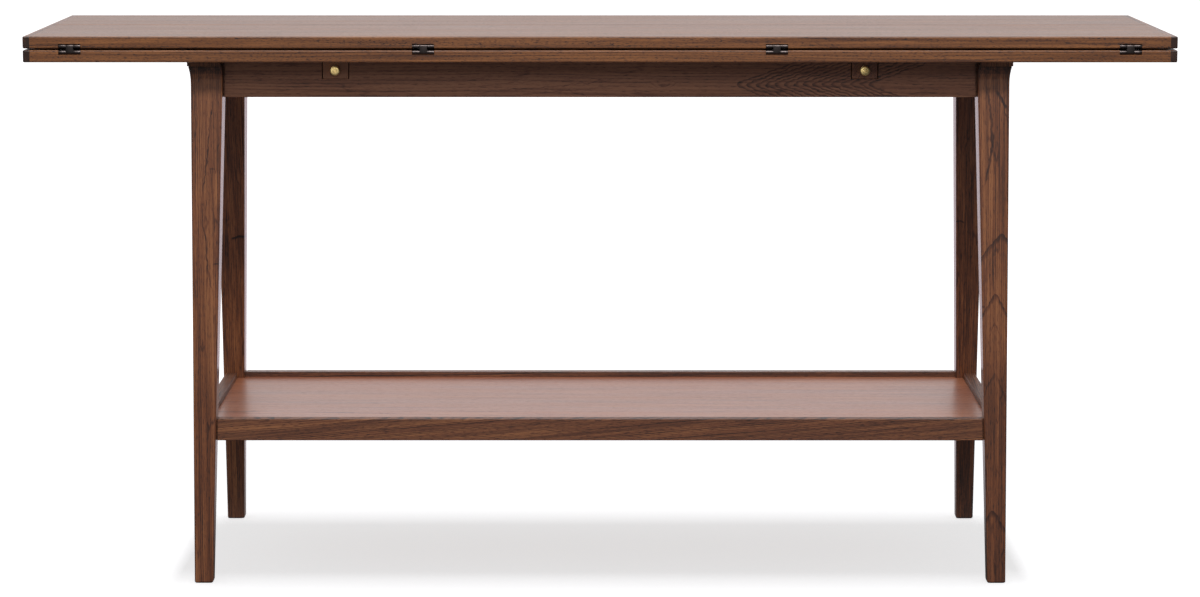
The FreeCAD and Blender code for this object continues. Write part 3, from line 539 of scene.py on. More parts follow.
    def _veins(self, add: Adder, place: Feed) -> bpy.types.Node:
        """Draws thin dark veins that wander with the fibres, in patches.

        Args:
            add: Adds nodes to the material.
            place: The place in the log, in metres.

        Returns:
            A node that is 1 on the veins.
        """
        level = add("Math", self._noise(add, place, self.vein_mm, 2.5), 0.5, operation="SUBTRACT")
        line = add("MapRange", add("Math", level, operation="ABSOLUTE"), *self.vein_span, **SMOOTH)
        patches = add("MapRange", self._noise(add, place, self.patch_mm, 1.0), *self.patch_span, **SMOOTH)
        return add("Math", line, patches, operation="MULTIPLY")

    def _early_wood(self, add: Adder, radius: bpy.types.Node) -> tuple[bpy.types.Node, bpy.types.Node]:
        """Draws the growth rings.

        Args:
            add: Adds nodes to the material.
            radius: The distance from the pith.

        Returns:
            A node that is 1 in the open pores at the start of each ring and falls to 0 in its late wood, and
            one with how strongly each ring shows.
        """
        years = add("Math", radius, 1 / (self.ring_mm * MM), operation="MULTIPLY")
        slow = add("Math", radius, 1 / (self.ring_noise_mm * MM), operation="MULTIPLY")
        width = add("TexNoise", slow, 1.0, 1.0, noise_dimensions="1D")
        years = add("Math", width, self.ring_wander, years, operation="MULTIPLY_ADD")
        part = add("Math", years, operation="FRACT")
        fall = add("MapRange", part, *self.ring_fall_span, **SMOOTH)
        rise = add("MapRange", part, *self.ring_rise_span, **SMOOTH)
        season = add("TexNoise", years, self.season_pace, 1.0, noise_dimensions="1D")
        strong = add("MapRange", season, *self.season_span, **SMOOTH)
        strong = add("Math", strong, 1.0 - self.weak_season, self.weak_season, operation="MULTIPLY_ADD")
        return add("Math", fall, rise, operation="MAXIMUM"), strong


# Solid stained oak of the legs; its darkening at curves also paints shade into the coves under the top
LEG_OAK = Oak(
    "stained_oak", deep="#28110a", dark="#482615", body="#6b3b20", pale="#8b5833", wander_mm=2.4,
    ring_depth=0.34, pore_depth=0.40, fibre_mm=(190.0, 1.1), fibre_depth=1.25, streak_depth=0.95,
    cloud_depth=0.80, vein_depth=0.32, short_grain_and_shade_depth=0.26, level=0.75, coat=0.40, coat_roughness=0.10,
)
# Veneer with straight grain and a quiet figure
TOP_OAK = Oak(
    "stained_oak_veneer", body="#653c1f", pale="#86552e", wander_mm=3.0, ring_depth=0.24, pore_depth=0.70,
    pore_mm=(4.5, 0.8), fibre_mm=(190.0, 1.5), fibre_depth=0.90, streak_depth=0.75, cloud_depth=0.30,
    vein_depth=0.15, level=0.74,
)
# The same veneer, drawn paler than the top's: painted light, lifting the shelf, which lies in the top's shade
SHELF_OAK = Oak(
    "stained_oak_shelf_veneer", body="#98573b", pale="#b27552", wander_mm=2.0, ring_depth=0.16,
    pore_depth=0.20, fibre_depth=0.55, streak_depth=0.45, vein_depth=0.10, roughness=0.32, coat=0.30,
    level=0.75,
)
# End strips, stained a little darker, since their open ends drink more stain
LIPPING_OAK = Oak("stained_oak_lipping", level=0.64, vein_depth=0.0, end_depth=0.30)
# Redder boards of the frame, drawn paler than the legs: painted light, lifting the frame in the top's shade
APRON_OAK = Oak(
    "stained_oak_frame", deep="#28130c", dark="#4a2b1f", body="#6c402c", pale="#8a5b40", wander_mm=3.0,
    ring_depth=0.28, pore_depth=0.40, vein_depth=0.28, level=0.90,
)
# Boards with a bold figure
RAIL_OAK = Oak(
    "stained_oak_figured", dark="#412418", body="#653923", pale="#8c5a36", ring_depth=0.62, ring_mm=2.0,
    wander_mm=3.0, vein_depth=0.12, pore_depth=0.55, level=0.76, roughness=0.50, coat=0.10,
)
# Unlacquered hardwood inside the frame, matt and nearly without figure
INNER_BEECH = Oak(
    "planed_beech", deep="#4a2f1d", dark="#6b4830", body="#87603f", pale="#a07a54", ring_depth=0.08,
    pore_depth=0.18, roughness=0.6, coat=0.0,
)
# Paler turned pegs
DOWEL_BEECH = Oak(
    "turned_beech", deep="#7a5737", dark="#96704a", body="#b08a60", pale="#c4a077", ring_depth=0.08,
    pore_depth=0.16, roughness=0.55, coat=0.0,
)


# --- metals and rubber ---


@dataclass(frozen=True)
class Metal:
    """A metal whose surface is mottled and brushed at a fine scale.

    The mottling is the uneven thickness of plating or tarnish, and the fine noise is what polishing or
    tumbling leaves.
    """

    name: str
    bright: str
    dull: str
    roughness: float
    spread: float
    mottle_mm: float
    grit_mm: float
    relief_mm: float
    mottle_span: Pair = (0.3, 0.7)
    relief_strength: float = 0.6

    def dress(self, label: str, turned_about: Vector | None = None) -> bpy.types.Material:
        """Makes the material.

        Args:
            label: The name of the piece.
            turned_about: A point on the axis, along Y, of a piece that was turned on a lathe.

        Returns:
            The material.
        """
        material, add = new_material(f"{self.name} {label}")
        place = add("TexCoord").outputs["Object"]
        mottle = add("TexNoise", place, 1 / (self.mottle_mm * MM), 4.0, 0.6)
        low, high = self.roughness - self.spread, self.roughness + self.spread
        fineness = 1 / (self.grit_mm * MM)
        if turned_about is None:
            grit = add("TexNoise", place, fineness, 2.0)
        else:
            centred = add("Mapping", place, tuple(-turned_about))
            flat = add("VectorMath", centred, (1.0, 0.0, 1.0), operation="MULTIPLY")
            away = add("VectorMath", flat, operation="LENGTH")
            grit = add("TexNoise", away, fineness, 1.0, noise_dimensions="1D")
        rough = {"Height": grit, "Strength": self.relief_strength, "Distance": self.relief_mm * MM}
        look = {
            "Base Color": add("Mix", mottle, linear(self.dull), linear(self.bright), data_type="RGBA"),
            "Metallic": 1.0,
            "Roughness": add("MapRange", mottle, *self.mottle_span, high, low),
            "Normal": add("Bump", named=rough),
        }
        add("OutputMaterial", add("BsdfPrincipled", named=look))
        return material


# Brass, turned on a lathe, satin polished and lacquered: warm, with faint rings round its axis
BRASS = Metal("satin_brass", "#f2dea2", "#d3b06a", 0.30, 0.05, 3.0, 0.25, 0.004)
# Steel with a dark bronze plating, tumbled: nearly black, with soft highlights
BRONZE = Metal("dark_bronze_plating", "#6f6664", "#3c3534", 0.36, 0.08, 2.2, 0.35, 0.01)
# Zinc-plated steel: pale grey, a little cloudy
ZINC = Metal("zinc_plated_steel", "#c9c9c3", "#9a9a94", 0.38, 0.10, 1.5, 0.3, 0.01)


@dataclass(frozen=True)
class Rubber:
    """Soft moulded rubber: dark and matt, with a fine pebbled skin."""

    name: str = "moulded_rubber"
    shade: str = "#2b2826"
    dust: str = "#45403c"
    pebble_mm: float = 0.5
    relief_mm: float = 0.05
    relief_strength: float = 0.4
    roughness: float = 0.8
    ior: float = 1.52

    def dress(self, label: str) -> bpy.types.Material:
        """Makes the material.

        Args:
            label: The name of the piece.

        Returns:
            The material.
        """
        material, add = new_material(f"{self.name} {label}")
        noise = add("TexNoise", add("TexCoord").outputs["Object"], 1 / (self.pebble_mm * MM), 3.0)
        rough = {"Height": noise, "Strength": self.relief_strength, "Distance": self.relief_mm * MM}
        look = {
            "Base Color": add("Mix", noise, linear(self.shade), linear(self.dust), data_type="RGBA"),
            "Roughness": self.roughness,
            "IOR": self.ior,
            "Normal": add("Bump", named=rough),
        }
        add("OutputMaterial", add("BsdfPrincipled", named=look))
        return material


RUBBER = Rubber()


# --- meshes ---


def finish_mesh(
    name: str, shape: bmesh.types.BMesh, material: bpy.types.Material, crease_deg: float
) -> bpy.types.Object:
    """Turns a bmesh into a smooth-shaded object at the origin.

    Args:
        name: The object's name.
        shape: The bmesh, which is freed.
        material: Its material.
        crease_deg: The angle between faces above which an edge stays sharp.

    Returns:
        The object.
    """
    bmesh.ops.recalc_face_normals(shape, faces=shape.faces)
    mesh = bpy.data.meshes.new(name)
    shape.to_mesh(mesh)
    shape.free()
    mesh.shade_smooth()
    mesh.set_sharp_from_angle(angle=math.radians(crease_deg))
    mesh.materials.append(material)
    piece = bpy.data.objects.new(name, mesh)
    bpy.context.scene.collection.objects.link(piece)
    return piece


def spun(profile: Sequence[Pair], steps: int) -> bmesh.types.BMesh:
    """Spins a half outline about Z into a closed shape.

    Args:
        profile: The corners of the outline as radius and height, from axis to axis.
        steps: How many steps a full turn has.

    Returns:
        The shape.
    """
    shape = bmesh.new()
    corners = [shape.verts.new((radius, 0.0, height)) for radius, height in profile]
    edges = [shape.edges.new(pair) for pair in zip(corners, corners[1:])]
    bmesh.ops.spin(
        shape,
        geom=corners + edges,
        cent=(0.0, 0.0, 0.0),
        axis=(0.0, 0.0, 1.0),
        angle=2 * math.pi,
        steps=steps,
        use_merge=True,
    )
    bmesh.ops.remove_doubles(shape, verts=shape.verts, dist=TOUCH)
    return shape


def arc(centre: Pair, radius: float, start_deg: float, end_deg: float, steps: int) -> list[Pair]:
    """Finds points on an arc of a half outline.

    Args:
        centre: The arc's centre, as radius and height.
        radius: The arc's own radius.
        start_deg: The angle at which it starts.
        end_deg: The angle at which it ends.
        steps: How many steps it has.

    Returns:
        The points, as radius and height.
    """
    points = []
    for step in range(steps + 1):
        angle = math.radians(start_deg + (end_deg - start_deg) * step / steps)
        points.append((centre[0] + radius * math.cos(angle), centre[1] + radius * math.sin(angle)))
    return points


def add_copies(into: bmesh.types.BMesh, shape: bmesh.types.BMesh, places: Sequence[Matrix]) -> None:
    """Adds a copy of a shape to a bmesh at each place.

    Args:
        into: The bmesh that gets the copies.
        shape: The shape, which is freed.
        places: One transform for each copy.
    """
    for place in places:
        copy = shape.copy()
        bmesh.ops.transform(copy, matrix=place, verts=copy.verts)
        holder = bpy.data.meshes.new("copy")
        copy.to_mesh(holder)
        copy.free()
        into.from_mesh(holder)
        bpy.data.meshes.remove(holder)
    shape.free()


# The width of a recess at its bottom, as a share of its width at the top
RECESS_TAPER = 0.72


def sink(shape: bmesh.types.BMesh, half: float, reach: float, depth: float, crossed: bool) -> None:
    """Sinks a slot along X, or a cross, into the flat top of a turned shape.

    Args:
        shape: The turned shape.
        half: Half the width of the slot.
        reach: How far each end of the slot goes from the middle.
        depth: How deep it is.
        crossed: Whether there is a second slot along Y.
    """
    level = max(v.co.z for v in shape.verts)
    flat = [f for f in shape.faces if all(abs(v.co.z - level) < TOUCH for v in f.verts)]
    bmesh.ops.dissolve_faces(shape, faces=flat)
    axes = ((1, 0, 0), (0, 1, 0))
    for axis, away in [(axis, sign * away) for axis in axes for sign in (-1, 1) for away in (half, reach)]:
        top = [f for f in shape.faces if all(abs(v.co.z - level) < TOUCH for v in f.verts)]
        geometry = top + list({e for f in top for e in f.edges}) + list({v for f in top for v in f.verts})
        across = Vector(axis)
        bmesh.ops.bisect_plane(shape, geom=geometry, plane_co=across * away, plane_no=across, dist=TOUCH / 10)
    slot = []
    for face in shape.faces:
        middle = face.calc_center_median()
        x, y = abs(middle.x), abs(middle.y)
        inside = (y < half and x < reach) or (crossed and x < half and y < reach)
        if abs(middle.z - level) < TOUCH and inside:
            slot.append(face)
    sunk = bmesh.ops.extrude_face_region(shape, geom=slot)["geom"]
    lowered = [part for part in sunk if isinstance(part, bmesh.types.BMVert)]
    bmesh.ops.delete(shape, geom=slot, context="FACES")
    bmesh.ops.translate(shape, verts=lowered, vec=(0.0, 0.0, -depth))
    bmesh.ops.scale(shape, verts=lowered, vec=(RECESS_TAPER, RECESS_TAPER, 1.0))


@dataclass
class ScrewShape:
    """A wood screw with a cross recess. The top of its head is at the origin and it points down."""

    head_mm: float
    core_mm: float
    length_mm: float
    countersunk: bool
    dome_mm: float = 0.0
    point_mm: float = 2.5
    recess_mm: float = 0.9
    recess_reach: float = 0.5
    recess_depth: float = 1.1
    steps: int = 24

    def build(self) -> bmesh.types.BMesh:
        """Builds one screw.

        Returns:
            The shape, in metres.
        """
        head, core, length = self.head_mm * MM, self.core_mm * MM, self.length_mm * MM
        if self.countersunk:
            top = [(0.0, 0.0), (head * 0.96, 0.0), (head, -0.03 * head), (core, core - head)]
            tip = -length
        else:
            dome = self.dome_mm * MM
            flat = head * 0.55
            top = [(0.0, 0.0), (flat, 0.0), (head * 0.82, -0.16 * dome)]
            top += [(head * 0.96, -0.42 * dome), (head, -0.8 * dome), (head, -dome), (core, -dome)]
            tip = -dome - length
        tail = [(core, tip + self.point_mm * MM), (0.0, tip)]
        shape = spun(top + tail, self.steps)
        recess = self.recess_mm * MM
        sink(shape, recess / 2, head * self.recess_reach, self.recess_depth * recess, True)
        return shape


# --- the table's parts ---


@dataclass
class Woodwork:
    """The wooden pieces, which keep their solid shapes and get their stain, figure and lacquer."""

    cuts: dict[str, tuple[Oak, Cut]] = field(default_factory=dict)

    def plan(self) -> None:
        """Chooses how each piece is sawn."""
        x, y, z = Run.ALONG_X, Run.ALONG_Y, Run.ALONG_Z
        self.cuts = {
            "fixed_top_panel": (TOP_OAK, Cut(x, (330.0, 60.0), (0.1, 0.25), 140.0)),
            "front_leaf_panel": (TOP_OAK, Cut(x, (520.0, 90.0), (0.2, 0.35), 0.0)),
            "rear_leaf_panel": (TOP_OAK, Cut(x, (410.0, -120.0), (0.2, -0.3), 700.0)),
            "fixed_top_end_lippings": (LIPPING_OAK, Cut(y, (14.0, 30.0), (0.6, 0.4), 60.0)),
            "front_leaf_end_lippings": (LIPPING_OAK, Cut(y, (22.0, -26.0), (0.4, 0.6), 0.0)),
            "rear_leaf_end_lippings": (LIPPING_OAK, Cut(y, (-20.0, 24.0), (0.5, 0.5), 210.0)),
            "rear_apron": (APRON_OAK, Cut(x, (40.0, -70.0), (0.4, 0.6), 800.0)),
            "left_apron": (APRON_OAK, Cut(y, (34.0, 52.0), (1.0, 0.8), 300.0)),
            "right_apron": (APRON_OAK, Cut(y, (-44.0, 30.0), (0.8, 1.0), 650.0)),
            "shelf_front_rail": (RAIL_OAK, Cut(x, (8.0, 130.0), (5.0, 0.5), 200.0)),
            "shelf_rear_rail": (RAIL_OAK, Cut(x, (-30.0, 44.0), (0.4, 1.2), 900.0, shade=0.12)),
            "shelf_left_rail": (RAIL_OAK, Cut(y, (30.0, 30.0), (0.8, 1.5), 100.0)),
            "shelf_right_rail": (RAIL_OAK, Cut(y, (26.0, -36.0), (0.7, 1.5), 520.0)),
            "shelf_panel": (SHELF_OAK, Cut(x, (120.0, 70.0), (0.4, 1.2), 450.0)),
            "shelf_cleats": (INNER_BEECH, Cut(x, (50.0, 30.0), (0.3, 0.5), 0.0)),
            "corner_blocks": (INNER_BEECH, Cut(z, (80.0, 40.0), (0.5, 0.5), 0.0)),
            "loper_stop_blocks": (INNER_BEECH, Cut(x, (80.0, 60.0), (0.5, 0.5), 0.0)),
        }
        self._plan_figured()
        for number, side in enumerate(("left", "right")):
            for place, name in enumerate(("outer", "middle", "inner")):
                pith = (30.0 + 9.0 * place, 40.0 - 7.0 * number)
                slide = 137.0 * (3 * number + place)
                self.cuts[f"{side}_{name}_guide"] = (INNER_BEECH, Cut(y, pith, (0.6, 0.9), slide))
        for number, name in enumerate(("front_left", "front_right", "rear_left", "rear_right")):
            pith = (24.0 + 6.0 * number, 30.0 - 4.0 * number)
            shade = (-0.95, -0.34)[number % 2]
            self.cuts[f"{name}_loper_bar"] = (APRON_OAK, Cut(y, pith, (0.8, 0.6), 211.0 * number, shade=shade))
            self.cuts[f"{name}_loper_stop_peg"] = (DOWEL_BEECH, Cut(z, (5.0, 7.0), (1.0, 1.0), 31.0 * number))

    def _plan_figured(self) -> None:
        """Chooses the boards with knots, arches, single veins and painted shade: the legs and the front apron.
        """
        x, z = Run.ALONG_X, Run.ALONG_Z
        arches = (
            Arch(82.0, -15.0, 0.2, 6.0, 0.50, soft_mm=2.5),
            Arch(213.0, -8.0, 0.15, 5.0, 0.45, soft_mm=2.0),
        )
        veins = (
            # A band 60 mm wide on the lower leg: painted shade, the leg darker towards the floor
            VeinAndShade(-250.0, 0.0, 420.0, 0.12, width_mm=60.0),
            VeinAndShade(285.0, -15.0, 200.0, 0.22, lean=-0.02, width_mm=10.0),
            VeinAndShade(117.0, -16.0, 120.0, 0.25, width_mm=7.0),
            VeinAndShade(245.0, -3.0, 150.0, 0.60, lean=-0.11, width_mm=1.3),
            VeinAndShade(95.0, 4.0, 110.0, 0.30, lean=0.07, bow_mm=-5.0),
            VeinAndShade(80.0, -6.0, 90.0, 0.28, lean=0.09, bow_mm=4.0),
        )
        knots = (Knot(132.0, -24.0, -14.0, 9.0),)
        cut = Cut(z, (14.0, 78.0), (0.3, -4.2), 50.0, knots, arches=arches, veins=veins)
        self.cuts["front_left_leg"] = (LEG_OAK, cut)

        arches = (
            Arch(123.0, -11.0, 1.3, 40.0, 0.48, soft_mm=12.0),
            Arch(40.0, -3.0, 1.9, 30.0, 0.48, soft_mm=12.0),
            Arch(0.0, -3.0, 3.6, 9.0, 0.40, soft_mm=6.0),
            Arch(-70.0, -2.0, 2.6, 30.0, 0.26, soft_mm=9.0),
            Arch(-262.0, -2.0, 1.8, 26.0, 0.40, soft_mm=12.0),
        )
        veins = (
            # A band 60 mm wide on the lower leg: painted shade, the leg darker towards the floor
            VeinAndShade(-240.0, 0.0, 460.0, 0.22, width_mm=60.0),
            VeinAndShade(258.0, 17.0, 160.0, 0.50, bow_mm=-13.0, width_mm=2.4),
            VeinAndShade(308.0, -9.0, 28.0, 0.60, lean=0.6, width_mm=3.4),
            VeinAndShade(290.0, -15.0, 60.0, 0.40, lean=0.30, width_mm=1.8),
        )
        knots = (Knot(301.0, -4.0, -13.0, 10.0),)
        cut = Cut(z, (16.0, 70.0), (0.4, -4.1), 400.0, knots, 0.03, arches, veins)
        self.cuts["front_right_leg"] = (LEG_OAK, cut)

        arches = (Arch(76.0, -12.0, 0.35, 16.0, 1.00, 4.5),)
        cut = Cut(z, (18.0, -70.0), (0.3, 4.8), 900.0, shade=-0.07, arches=arches)
        self.cuts["rear_left_leg"] = (LEG_OAK, cut)

        arches = (Arch(99.0, 12.0, 0.5, 9.0, 0.70, 3.0),)
        cut = Cut(z, (12.0, 66.0), (0.4, 4.3), 1300.0, shade=0.14, arches=arches)
        self.cuts["rear_right_leg"] = (LEG_OAK, cut)

        arches = (Arch(190.0, -9.0, 2.9, 40.0, 0.60, 8.0, rings=15, spacing_mm=13.0, point=-1),)
        veins = (
            VeinAndShade(-78.0, -12.0, 240.0, 0.32, lean=0.09),
            VeinAndShade(-60.0, -18.0, 220.0, 0.26, lean=0.09),
            VeinAndShade(-95.0, -5.0, 200.0, 0.22, lean=0.07),
        )
        knots = (Knot(88.0, -10.0, -10.0, 10.0),)
        cut = Cut(x, (60.0, 40.0), (0.3, 0.5), 0.0, knots, arches=arches, veins=veins)
        self.cuts["front_apron"] = (APRON_OAK, cut)

    def dress(self) -> None:
        """Gives each wooden node its material."""
        self.plan()
        for node, (oak, cut) in self.cuts.items():
            low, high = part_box(node)
            wear(node, oak.dress(node, (low + high) / 2, cut))
            LOG.info("dressed %s in %s", node, oak.name)


def wear(node: str, material: bpy.types.Material) -> None:
    """Puts a material on a carried-over node."""
    slots = frame["nodes"][node].data.materials
    slots.clear()
    slots.append(material)


@dataclass
class Knobs:
    """The brass knobs on the heads of the lopers, with a slotted screw in the face of each."""

    radius_mm: float = 6.8
    neck_radius_mm: float = 3.2
    neck_mm: float = 3.5
    head_mm: float = 6.5
    dome_mm: float = 0.25
    rim_mm: float = 1.6
    screw_radius_mm: float = 2.9
    screw_gap_mm: float = 0.5
    slot_mm: float = 1.2
    slot_turn_deg: float = 45.0
    foot_mm: float = 0.5
    stud_radius_mm: float = 2.0
    stud_mm: float = 16.0
    steps: int = 64
    tip_mm: float = 0.3
    cove_mm: float = 1.2
    edge_mm: float = 0.6
    rim_sweep_deg: float = 78.0
    slot_reach: float = 0.82
    slot_depth_mm: float = 1.0
    crease_deg: float = 40.0

    def profile(self) -> list[Pair]:
        """Returns the half outline, in metres, with the head up and the loper's face at height 0."""
        top = self.neck_mm + self.head_mm
        stud, neck = self.stud_radius_mm, self.neck_radius_mm
        points = [(0.0, -self.stud_mm), (stud - self.tip_mm, -self.stud_mm), (stud, self.tip_mm - self.stud_mm)]
        points += [(stud, 0.0), (neck + self.foot_mm, 0.0), (neck + self.foot_mm, self.foot_mm)]
        points += arc((neck + self.cove_mm, self.foot_mm + 1.3), self.cove_mm, 200.0, 170.0, 4)
        points += [(neck + 0.2, self.neck_mm - 0.4)]
        points += arc((self.radius_mm - self.edge_mm, self.neck_mm + self.edge_mm), self.edge_mm, -90.0, 0.0, 4)
        rim = (self.radius_mm - self.rim_mm, top - self.dome_mm - self.rim_mm)
        points += arc(rim, self.rim_mm, 0.0, self.rim_sweep_deg, 8)
        inner, edge = points[-1]
        points += [(inner * 0.88, (edge + top) / 2)]
        # The edge of the face, the narrow gap round the screw, and the screw's own broken edge
        screw, gap = self.screw_radius_mm, self.screw_gap_mm
        points += [(screw + 1.3 * gap, top - 0.06), (screw + gap, top - gap), (screw + 0.1, top - gap)]
        points += [(screw, top - 0.08), (screw - 0.12, top), (0.0, top)]
        return [(radius * MM, height * MM) for radius, height in points]

    def build(self) -> None:
        """Turns the four knobs and puts each in place of its solid."""
        reach = (self.neck_mm + self.head_mm) * MM
        for name, toward in (("front_left", -1), ("front_right", -1), ("rear_left", 1), ("rear_right", 1)):
            node = f"{name}_loper_knob"
            low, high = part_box(node)
            face = low.y + reach if toward < 0 else high.y - reach
            centre = Vector(((low.x + high.x) / 2, face, (low.z + high.z) / 2))
            shape = spun(self.profile(), self.steps)
            reach_of_slot = self.slot_reach * self.screw_radius_mm * MM
            sink(shape, self.slot_mm * MM / 2, reach_of_slot, self.slot_depth_mm * MM, False)
            twist = Matrix.Rotation(math.radians(self.slot_turn_deg), 4, "Z")
            turn = Matrix.Rotation(math.radians(-90.0 * toward), 4, "X")
            bmesh.ops.transform(shape, matrix=Matrix.Translation(centre) @ turn @ twist, verts=shape.verts)
            knob = finish_mesh(f"{name}_knob", shape, BRASS.dress(name, centre), self.crease_deg)
            bpy.data.collections["brass_card_lit"].objects.link(knob)
            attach(knob, f"{name}_loper")
            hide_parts(node)
            LOG.info("turned %s", knob.name)


@dataclass
class Screws:
    """Every screw of the table, with its cross recess."""

    hinge: ScrewShape = field(default_factory=lambda: ScrewShape(2.6, 1.2, 12.0, True, recess_reach=0.62))
    frame: ScrewShape = field(default_factory=lambda: ScrewShape(4.2, 2.0, 45.0, False, 2.6, recess_mm=1.3))
    cleat: ScrewShape = field(default_factory=lambda: ScrewShape(3.4, 1.6, 18.0, False, 2.6, recess_mm=1.1))
    turn_deg: float = 37.0
    crease_deg: float = 35.0

    def build(self) -> None:
        """Builds each set of screws in place of its solids."""
        sets = (
            ("front_hinge_leaf_screws", self.hinge, -1, "front_leaf", BRONZE, "bronze_screws"),
            ("rear_hinge_leaf_screws", self.hinge, -1, "rear_leaf", BRONZE, "bronze_screws"),
            ("hinge_bed_screws", self.hinge, 1, "base", BRONZE, "bronze_screws"),
            ("corner_block_screws", self.frame, -1, "base", ZINC, "zinc_screws"),
            ("guide_screws", self.frame, -1, "base", ZINC, "zinc_screws"),
            ("shelf_cleat_screws", self.cleat, -1, "base", ZINC, "zinc_screws"),
        )
        for node, kind, up, body, metal, slot in sets:
            shape = bmesh.new()
            places = [self._place(middle, up, number) for number, middle in enumerate(heads(node, up))]
            add_copies(shape, kind.build(), places)
            piece = finish_mesh(f"{node}_cross_head", shape, metal.dress(node), self.crease_deg)
            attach(piece, body)
            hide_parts(node)
            LOG.info("built %s", piece.name)

    def _place(self, middle: Vector, up: int, number: int) -> Matrix:
        """Returns the place of a screw whose head's top has its middle there, turned by its own angle."""
        flip = Matrix.Rotation(0.0 if up > 0 else math.pi, 4, "X")
        twist = Matrix.Rotation(math.radians(self.turn_deg * number), 4, "Z")
        return Matrix.Translation(middle) @ flip @ twist


# No screw head is wider than this, and no two of a node are as near
HEAD_SPREAD_MM = 9.0


def heads(node: str, up: int) -> list[Vector]:
    """Finds the middle of each screw head of a node.

    Args:
        node: The node with the screws as separate solids.
        up: 1 if the heads face up, -1 if they face down.

    Returns:
        The middles of the tops of the heads, in a steady order.
    """
    corners = [v.co.copy() for v in frame["nodes"][node].data.vertices]
    level = max(c.z * up for c in corners)
    top = sorted((c for c in corners if c.z * up > level - 1e-5), key=lambda c: (round(c.x, 3), round(c.y, 3)))
    groups: list[list[Vector]] = []
    for corner in top:
        for group in groups:
            if (group[0] - corner).length < HEAD_SPREAD_MM * MM:
                group.append(corner)
                break
        else:
            groups.append([corner])
    middles = []
    for group in groups:
        x = (min(c.x for c in group) + max(c.x for c in group)) / 2
        y = (min(c.y for c in group) + max(c.y for c in group)) / 2
        middles.append(Vector((x, y, level * up)))
    return middles


@dataclass
class Hinges:
    """The metal of the double-pin hinges, with its edges broken as tumbling leaves them."""

    break_mm: float = 0.18
    steps: int = 2
    merge_m: float = 2e-6
    flat_deg: float = 0.5
    sharp_deg: float = 40.0
    crease_deg: float = 32.0

    def build(self) -> None:
        """Softens each set of hinge pieces and puts it in place of its solids."""
        sets = {
            "front_hinge_bed_plates": "base",
            "rear_hinge_bed_plates": "base",
            "front_hinge_links": "front_links",
            "rear_hinge_links": "rear_links",
            "front_hinge_leaf_plates": "front_leaf",
            "rear_hinge_leaf_plates": "rear_leaf",
        }
        for node, body in sets.items():
            shape = self._softened(node)
            piece = finish_mesh(f"{node}_tumbled", shape, BRONZE.dress(node), self.crease_deg)
            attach(piece, body)
            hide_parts(node)
            LOG.info("softened %s", piece.name)
        for node in ("front_hinge_leaf_pins", "rear_hinge_leaf_pins", "hinge_bed_pins"):
            wear(node, BRONZE.dress(node))

    def _softened(self, node: str) -> bmesh.types.BMesh:
        """Copies a node's mesh, joins its triangles and bevels its sharp edges.

        Args:
            node: The node's name.

        Returns:
            The softened shape.
        """
        shape = bmesh.new()
        shape.from_mesh(frame["nodes"][node].data)
        bmesh.ops.remove_doubles(shape, verts=shape.verts, dist=self.merge_m)
        flat, sharp = math.radians(self.flat_deg), math.radians(self.sharp_deg)
        bmesh.ops.dissolve_limit(shape, angle_limit=flat, verts=shape.verts, edges=shape.edges)
        edges = [e for e in shape.edges if len(e.link_faces) == 2 and e.calc_face_angle(0.0) > sharp]
        bmesh.ops.bevel(
            shape,
            geom=edges,
            offset=self.break_mm * MM,
            offset_type="OFFSET",
            segments=self.steps,
            profile=0.5,
            affect="EDGES",
            clamp_overlap=True,
            material=-1,
        )
        return shape


# --- studio ---


@dataclass(frozen=True)
class Softbox:
    """A lamp with a soft front: where it hangs and what it points at in metres, its size and its power."""

    name: str
    place: Place
    target: Place
    size_m: Pair
    watts: float

    def hang(self) -> bpy.types.Object:
        """Hangs the lamp.

        Returns:
            The lamp.
        """
        data = bpy.data.lights.new(self.name, "AREA")
        data.shape = "RECTANGLE"
        data.size, data.size_y = self.size_m
        data.energy = self.watts
        lamp = bpy.data.objects.new(self.name, data)
        lamp.location = self.place
        lamp.rotation_euler = (Vector(self.target) - Vector(self.place)).to_track_quat("-Z", "Y").to_euler()
        bpy.context.scene.collection.objects.link(lamp)
        return lamp


